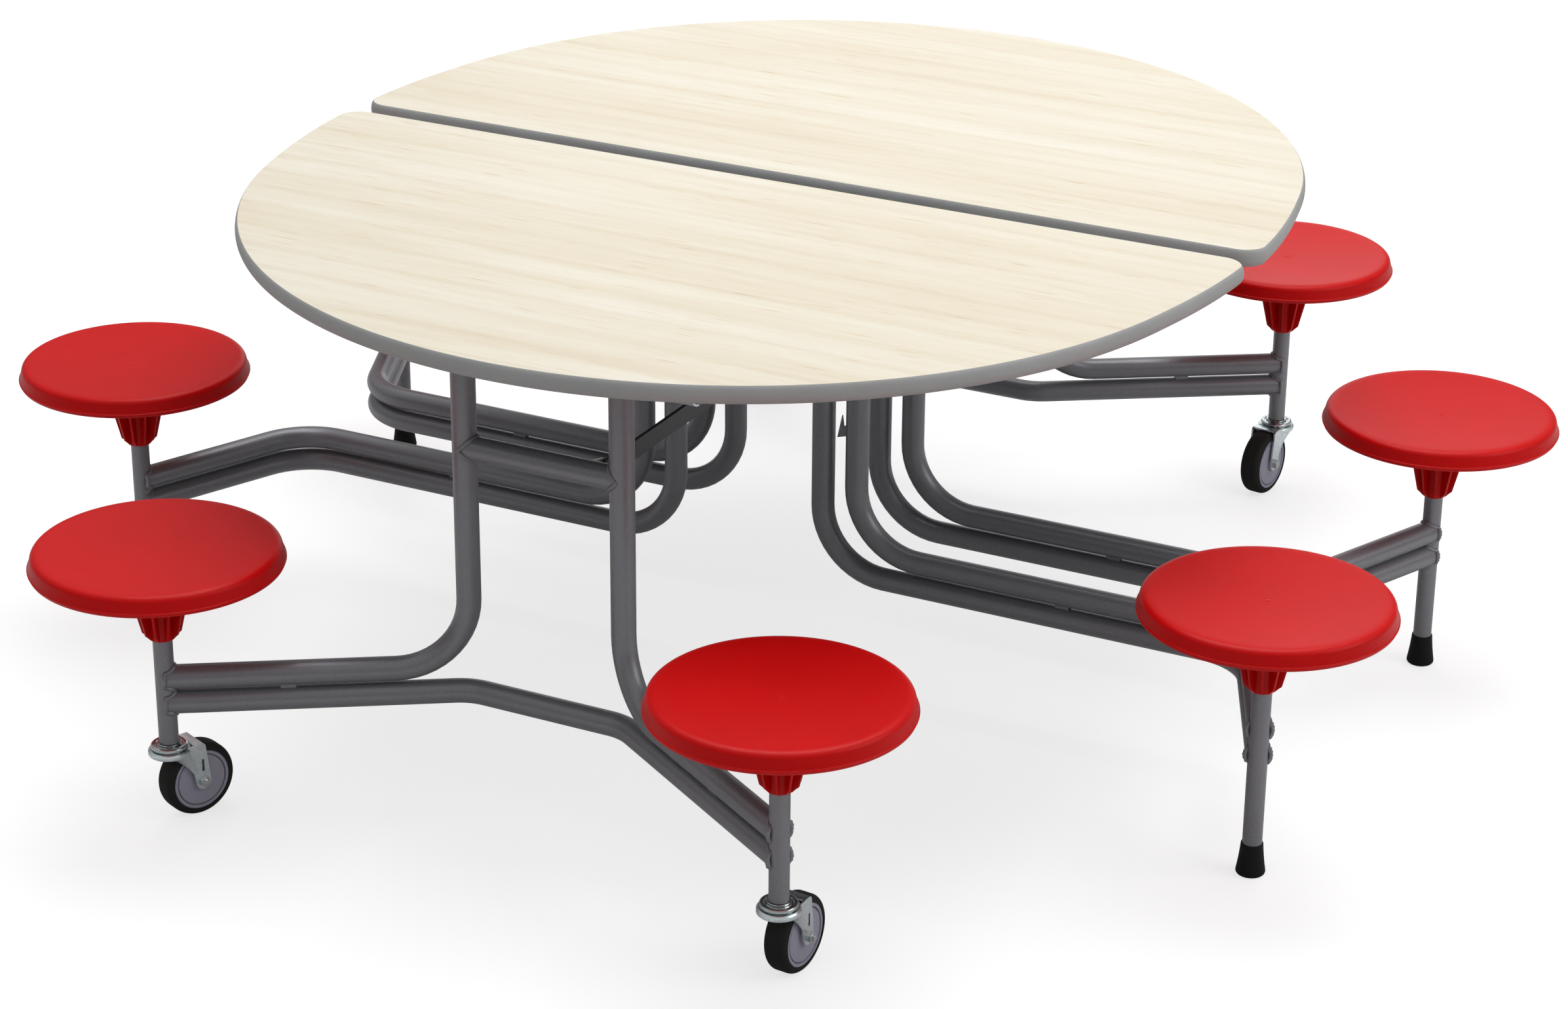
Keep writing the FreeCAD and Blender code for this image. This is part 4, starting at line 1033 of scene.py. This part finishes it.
@dataclass
class Castor:
    """One castor: a tyre on a grey wheel, its axle and its zinc fork."""

    corner: str
    radius: float = 50 * MM
    width: float = 32 * MM
    shoulder: float = 9 * MM
    hub_radius: float = 40.5 * MM
    hub_edge: float = 0.8 * MM
    boss_radius: float = 10 * MM
    boss_reach: float = 17.7 * MM
    boss_edge: float = 0.5 * MM
    boss_spread: float = 0.4 * MM
    bore: float = 4.05 * MM
    face: float = 14.5 * MM
    groove_radius: float = 35 * MM
    groove_depth: float = 3 * MM
    groove_width: float = 2 * MM
    groove_floor: float = 0.7
    band_rise: float = 0.5 * MM
    band_edge: float = 0.6 * MM
    fork_bevel: float = 0.6 * MM
    axle_bevel: float = 0.5 * MM
    segments: int = 96

    def axis(self) -> Array:
        """Return the wheel's axis from its joint."""
        joints = {joint["name"]: joint for joint in frame["joints"]}
        return np.array(joints[f"{self.corner}_wheel_spin"]["axis"], float)

    def tyre_profile(self) -> Array:
        """Trace the tyre's section: a flat tread, round shoulders and the seat on the wheel."""
        half = self.width / 2
        middle = self.radius - self.shoulder
        tread = half - self.shoulder
        low = arc_points([middle, -tread], self.shoulder, -90, 0, 9)
        high = arc_points([middle, tread], self.shoulder, 0, 90, 9)
        seat = np.array([[self.hub_radius, half], [self.hub_radius, -half]])
        return np.concatenate([low, high, seat])

    def wheel_profile(self) -> Array:
        """Trace the wheel's section: boss, disc, groove ring and raised band on both faces."""
        groove = self.groove_radius
        side = self.groove_width / 2
        floor = self.face - self.groove_depth
        band = self.face + self.band_rise
        half = np.array([
            [self.bore, self.boss_reach],
            [self.boss_radius - self.boss_edge, self.boss_reach],
            [self.boss_radius, self.boss_reach - self.boss_edge],
            [self.boss_radius + self.boss_spread, self.face],
            [groove - side, self.face],
            [groove - self.groove_floor * side, floor],
            [groove + self.groove_floor * side, floor],
            [groove + side, band],
            [self.hub_radius - self.hub_edge, band],
            [self.hub_radius, band - self.band_edge],
        ])
        return np.concatenate([half, half[::-1] * np.array([1.0, -1.0])])

    def build(self, shop: Workshop) -> None:
        """Make and dress the castor."""
        centre = box_centre(f"{self.corner}_tyre")
        for node, profile in (("tyre", self.tyre_profile()), ("wheel_hub", self.wheel_profile())):
            grid = lathe(profile, self.segments, centre, self.axis())
            piece = Shell().grid(grid, wrap_rows=True).build(f"{self.corner}_{node}_turned")
            shop.stand_for(piece, f"{self.corner}_{node}")
        shop.softened_copy(f"{self.corner}_fork", self.fork_bevel)
        shop.softened_copy(f"{self.corner}_axle", self.axle_bevel)


@dataclass
class Races:
    """The bright upper rings that hold the castors to an outer frame's posts."""

    half: Half
    radius: float = 24 * MM
    height: float = 6 * MM
    undercut: float = 1.5 * MM
    overhang: float = 3 * MM
    low_edge: float = 0.8 * MM
    round_edge: float = 2.4 * MM
    collar_radius: float = 15.5 * MM
    collar_height: float = 2.45 * MM
    collar_edge: float = 0.5 * MM
    well_radius: float = 18.5 * MM
    well_slope: float = 1 * MM
    well_depth: float = 1.4 * MM
    well_edge: float = 0.4 * MM
    bore: float = 6 * MM
    segments: int = 72

    def profile(self) -> Array:
        """Trace the ring's section: neck, round outer edge, a shallow well, and the collar round the post."""
        neck = self.radius - self.overhang
        start = np.array([[neck, 0.0], [neck, self.undercut]])
        low_centre = [self.radius - self.low_edge, self.undercut + self.low_edge]
        low = arc_points(low_centre, self.low_edge, -90, 0, 5)
        high_centre = [self.radius - self.round_edge, self.height - self.round_edge]
        high = arc_points(high_centre, self.round_edge, 0, 90, 8)
        top = self.height + self.collar_height
        well = self.height - self.well_depth
        rest = np.array([
            [self.well_radius, self.height],
            [self.well_radius - self.well_slope, well],
            [self.collar_radius + self.well_edge, well],
            [self.collar_radius, well + self.well_edge],
            [self.collar_radius, top - self.collar_edge],
            [self.collar_radius - self.collar_edge, top],
            [self.bore, top], [self.bore, 0.0],
        ])
        return np.concatenate([start, low, high, rest])

    def build(self, shop: Workshop) -> None:
        """Make and dress the pair of rings."""
        node = f"{self.half}_castor_races"
        shell = Shell()
        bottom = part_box(node)[0][2]
        for side in Side:
            x, y, _ = box_centre(f"{self.half}_{side}_seat")
            shell.grid(lathe(self.profile(), self.segments, np.array([x, y, bottom])), wrap_rows=True)
        shop.stand_for(shell.build(f"{self.half}_bearing_rings"), node)


@dataclass
class RubberFeet:
    """The flared rubber feet of the centre frame's posts."""

    height: float = 44 * MM
    floor: float = 8 * MM
    socket: float = 12.75 * MM
    top_radius: float = 14.3 * MM
    bottom_radius: float = 19 * MM
    round_edge: float = 4.5 * MM
    waist: float = 0.5 * MM
    lip: float = 1.0 * MM
    flank_start: float = 0.08
    flank_steps: int = 12
    segments: int = 64

    def profile(self) -> Array:
        """Trace a foot: round bottom edge, hollow flank (a half sine), round top lip and the socket."""
        inner = self.bottom_radius - self.round_edge
        edge = arc_points([inner, self.round_edge], self.round_edge, -90, 4, 9)
        share = np.linspace(self.flank_start, 1, self.flank_steps)
        start, end = edge[-1], np.array([self.top_radius, self.height - self.lip])
        flank = start + (end - start) * share[:, None]
        flank[:, 0] -= self.waist * np.sin(np.pi * share)
        lip = arc_points([self.top_radius - self.lip, self.height - self.lip], self.lip, 20, 90, 5)
        rest = np.array([[self.socket, self.height], [self.socket, self.floor], [0.0, self.floor]])
        return np.concatenate([[[0.0, 0.0]], edge, flank, lip, rest])

    def build(self, shop: Workshop) -> None:
        """Make and dress the four feet."""
        shell = Shell()
        for corner in foot_corners():
            x, y, _ = box_centre(f"{corner}_seat")
            shell.grid(lathe(self.profile(), self.segments, np.array([x, y, 0.0])))
        shop.stand_for(shell.build("flared_feet"), "rubber_feet")


@dataclass
class Hardware:
    """The flat bars, plates and bolts, which keep their solids' shape with softer edges."""

    bevel: float = 0.5 * MM
    plates: tuple[str, ...] = ("centre_catch_plates", "centre_end_plates", "centre_link_lugs")
    pairs: tuple[str, ...] = ("link", "link_lug", "link_bolts", "top_saddles")

    def build(self, shop: Workshop) -> None:
        """Soften and dress every plate, bar and bolt."""
        for node in self.plates:
            shop.softened_copy(node, self.bevel)
        for half in Half:
            for pair in self.pairs:
                shop.softened_copy(f"{half}_{pair}", self.bevel)


@dataclass
class Studio:
    """The floor, the lights and the camera of the photograph."""

    focal_pixels: float = 5622.4
    image_width: float = 2393.0
    sensor: float = 36.0
    clip_end: float = 100.0
    yaw: float = math.radians(26.74)
    pitch: float = math.radians(23.5)
    roll: float = math.radians(-0.5)
    eye: Triple = (2.1617, -4.2722, 2.2847)
    floor_size: float = 40.0
    floor_albedo: float = 0.4
    floor_glow: float = 0.7
    board_albedo: float = 0.66
    board_drop: float = 0.5 * MM
    wall_height: float = 14.0
    wall_glow: float = 0.88
    wall_segments: int = 96
    horizon: float = 0.15
    zenith: float = 0.72
    aim: Triple = (0.0, 0.0, 0.4)

    def camera(self) -> None:
        """Place the camera: right, up and back vectors from yaw, pitch and roll."""
        data = bpy.data.cameras.new("camera")
        data.sensor_fit = "HORIZONTAL"
        data.sensor_width = self.sensor
        data.lens = self.focal_pixels * self.sensor / self.image_width
        data.clip_end = self.clip_end
        level = math.cos(self.pitch)
        forward = np.array([-math.sin(self.yaw) * level, math.cos(self.yaw) * level, -math.sin(self.pitch)])
        right = np.array([math.cos(self.yaw), math.sin(self.yaw), 0.0])
        down = np.cross(forward, right)
        matrix = np.eye(4)
        matrix[:3, 0] = math.cos(self.roll) * right + math.sin(self.roll) * down
        matrix[:3, 1] = math.sin(self.roll) * right - math.cos(self.roll) * down
        matrix[:3, 2] = -forward
        matrix[:3, 3] = self.eye
        camera = linked("camera", data)
        camera.matrix_world = Matrix(matrix.tolist())
        bpy.context.scene.camera = camera

    def ground(self, height: float) -> Shell:
        """Trace a wide square sheet at a height."""
        half = self.floor_size / 2
        corners = [(-half, -half), (half, -half), (half, half), (-half, half)]
        return Shell().polygon(np.array([[x, y, height] for x, y in corners]))

    def wall(self) -> Shell:
        """Trace a round wall that stands on the edge of the floor."""
        profile = np.array([[self.floor_size / 2, 0.0], [self.floor_size / 2, self.wall_height]])
        return Shell().grid(lathe(profile, self.wall_segments, np.zeros(3)))

    def staged(self, shell: Shell, name: str, albedo: float, glow: float) -> Piece:
        """Make a plain sheet of the stage.

        Args:
            shell: The sheet's shape.
            name: The sheet's name.
            albedo: How much light it throws back.
            glow: How much light it gives off.

        Returns:
            The sheet, marked as stage.
        """
        sheet = shell.build(name)
        shader = Shader(name)
        grey = (albedo, albedo, albedo, 1.0)
        shader.fill(shader.surface, Base_Color=grey, Roughness=1.0, Specular_IOR_Level=0.0)
        shader.fill(shader.surface, Emission_Color=(*WHITE, 1.0), Emission_Strength=glow)
        sheet.data.materials.append(shader.material)
        return sheet

    def floor(self) -> None:
        """Lay the plain pale floor and wall that are seen, and the board that throws light back up."""
        floor = self.staged(self.ground(0.0), "floor", self.floor_albedo, self.floor_glow)
        wall = self.staged(self.wall(), "wall", 0.0, self.wall_glow)
        for seen in (floor, wall):
            seen.visible_diffuse = False
            seen.visible_glossy = False
            seen.visible_shadow = False
        board = self.staged(self.ground(-self.board_drop), "bounce_board", self.board_albedo, 0.0)
        board.visible_camera = False

    def lamp(self, name: str, place: Triple, size: float, power: float) -> None:
        """Hang a square softbox aimed at the table."""
        data = bpy.data.lights.new(name, "AREA")
        data.shape = "SQUARE"
        data.size = size
        data.energy = power
        lamp = linked(name, data)
        lamp.location = place
        way = Vector(self.aim) - Vector(place)
        lamp.rotation_euler = way.to_track_quat("-Z", "Y").to_euler()

    def surround(self) -> None:
        """Set the soft surround, dim at the horizon and brighter overhead."""
        world = bpy.data.worlds.new("studio")
        world.use_nodes = True
        nodes, links = world.node_tree.nodes, world.node_tree.links
        way = nodes.new("ShaderNodeTexCoord")
        split = nodes.new("ShaderNodeSeparateXYZ")
        spread = Shader.fill(nodes.new("ShaderNodeMapRange"), To_Min=self.horizon, To_Max=self.zenith)
        background = Shader.fill(nodes["Background"], Color=(*WHITE, 1.0))
        links.new(way.outputs["Generated"], split.inputs["Vector"])
        links.new(split.outputs["Z"], spread.inputs["Value"])
        links.new(spread.outputs["Result"], background.inputs["Strength"])
        bpy.context.scene.world = world

    def lights(self) -> None:
        """Hang the softboxes."""
        self.lamp("overhead_softbox", (-0.2, 0.9, 4.8), size=4.0, power=170.0)
        self.lamp("right_softbox", (3.8, 0.2, 2.4), size=2.4, power=38.0)
        self.lamp("rear_softbox", (-2.6, 6.4, 1.7), size=3.4, power=36.0)

    def build(self) -> None:
        """Set up the studio."""
        self.camera()
        self.floor()
        self.surround()
        self.lights()
        bpy.context.scene.view_settings.view_transform = "Standard"


def castor_corners() -> list[str]:
    """List the table's corners that roll."""
    return [f"{half}_{side}" for half in Half for side in Side]


def foot_corners() -> list[str]:
    """List the table's corners that stand on feet."""
    return [f"{side}_{half}" for half in Half for side in Side]


def main() -> None:
    """Build every sub-assembly in order, then the studio."""
    logging.basicConfig(level=logging.INFO, format="%(message)s")
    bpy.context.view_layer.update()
    shop = Workshop()
    for half in Half:
        HalfTop(half).build(shop)
        Races(half).build(shop)
    for corner in castor_corners() + foot_corners():
        Seat(f"{corner}_seat").build(shop)
    Tubework().build(shop)
    for corner in castor_corners():
        Castor(corner).build(shop)
    RubberFeet().build(shop)
    Hardware().build(shop)
    shop.dress_rest()
    Studio().build()
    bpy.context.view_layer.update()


if __name__ == "__main__":
    main()
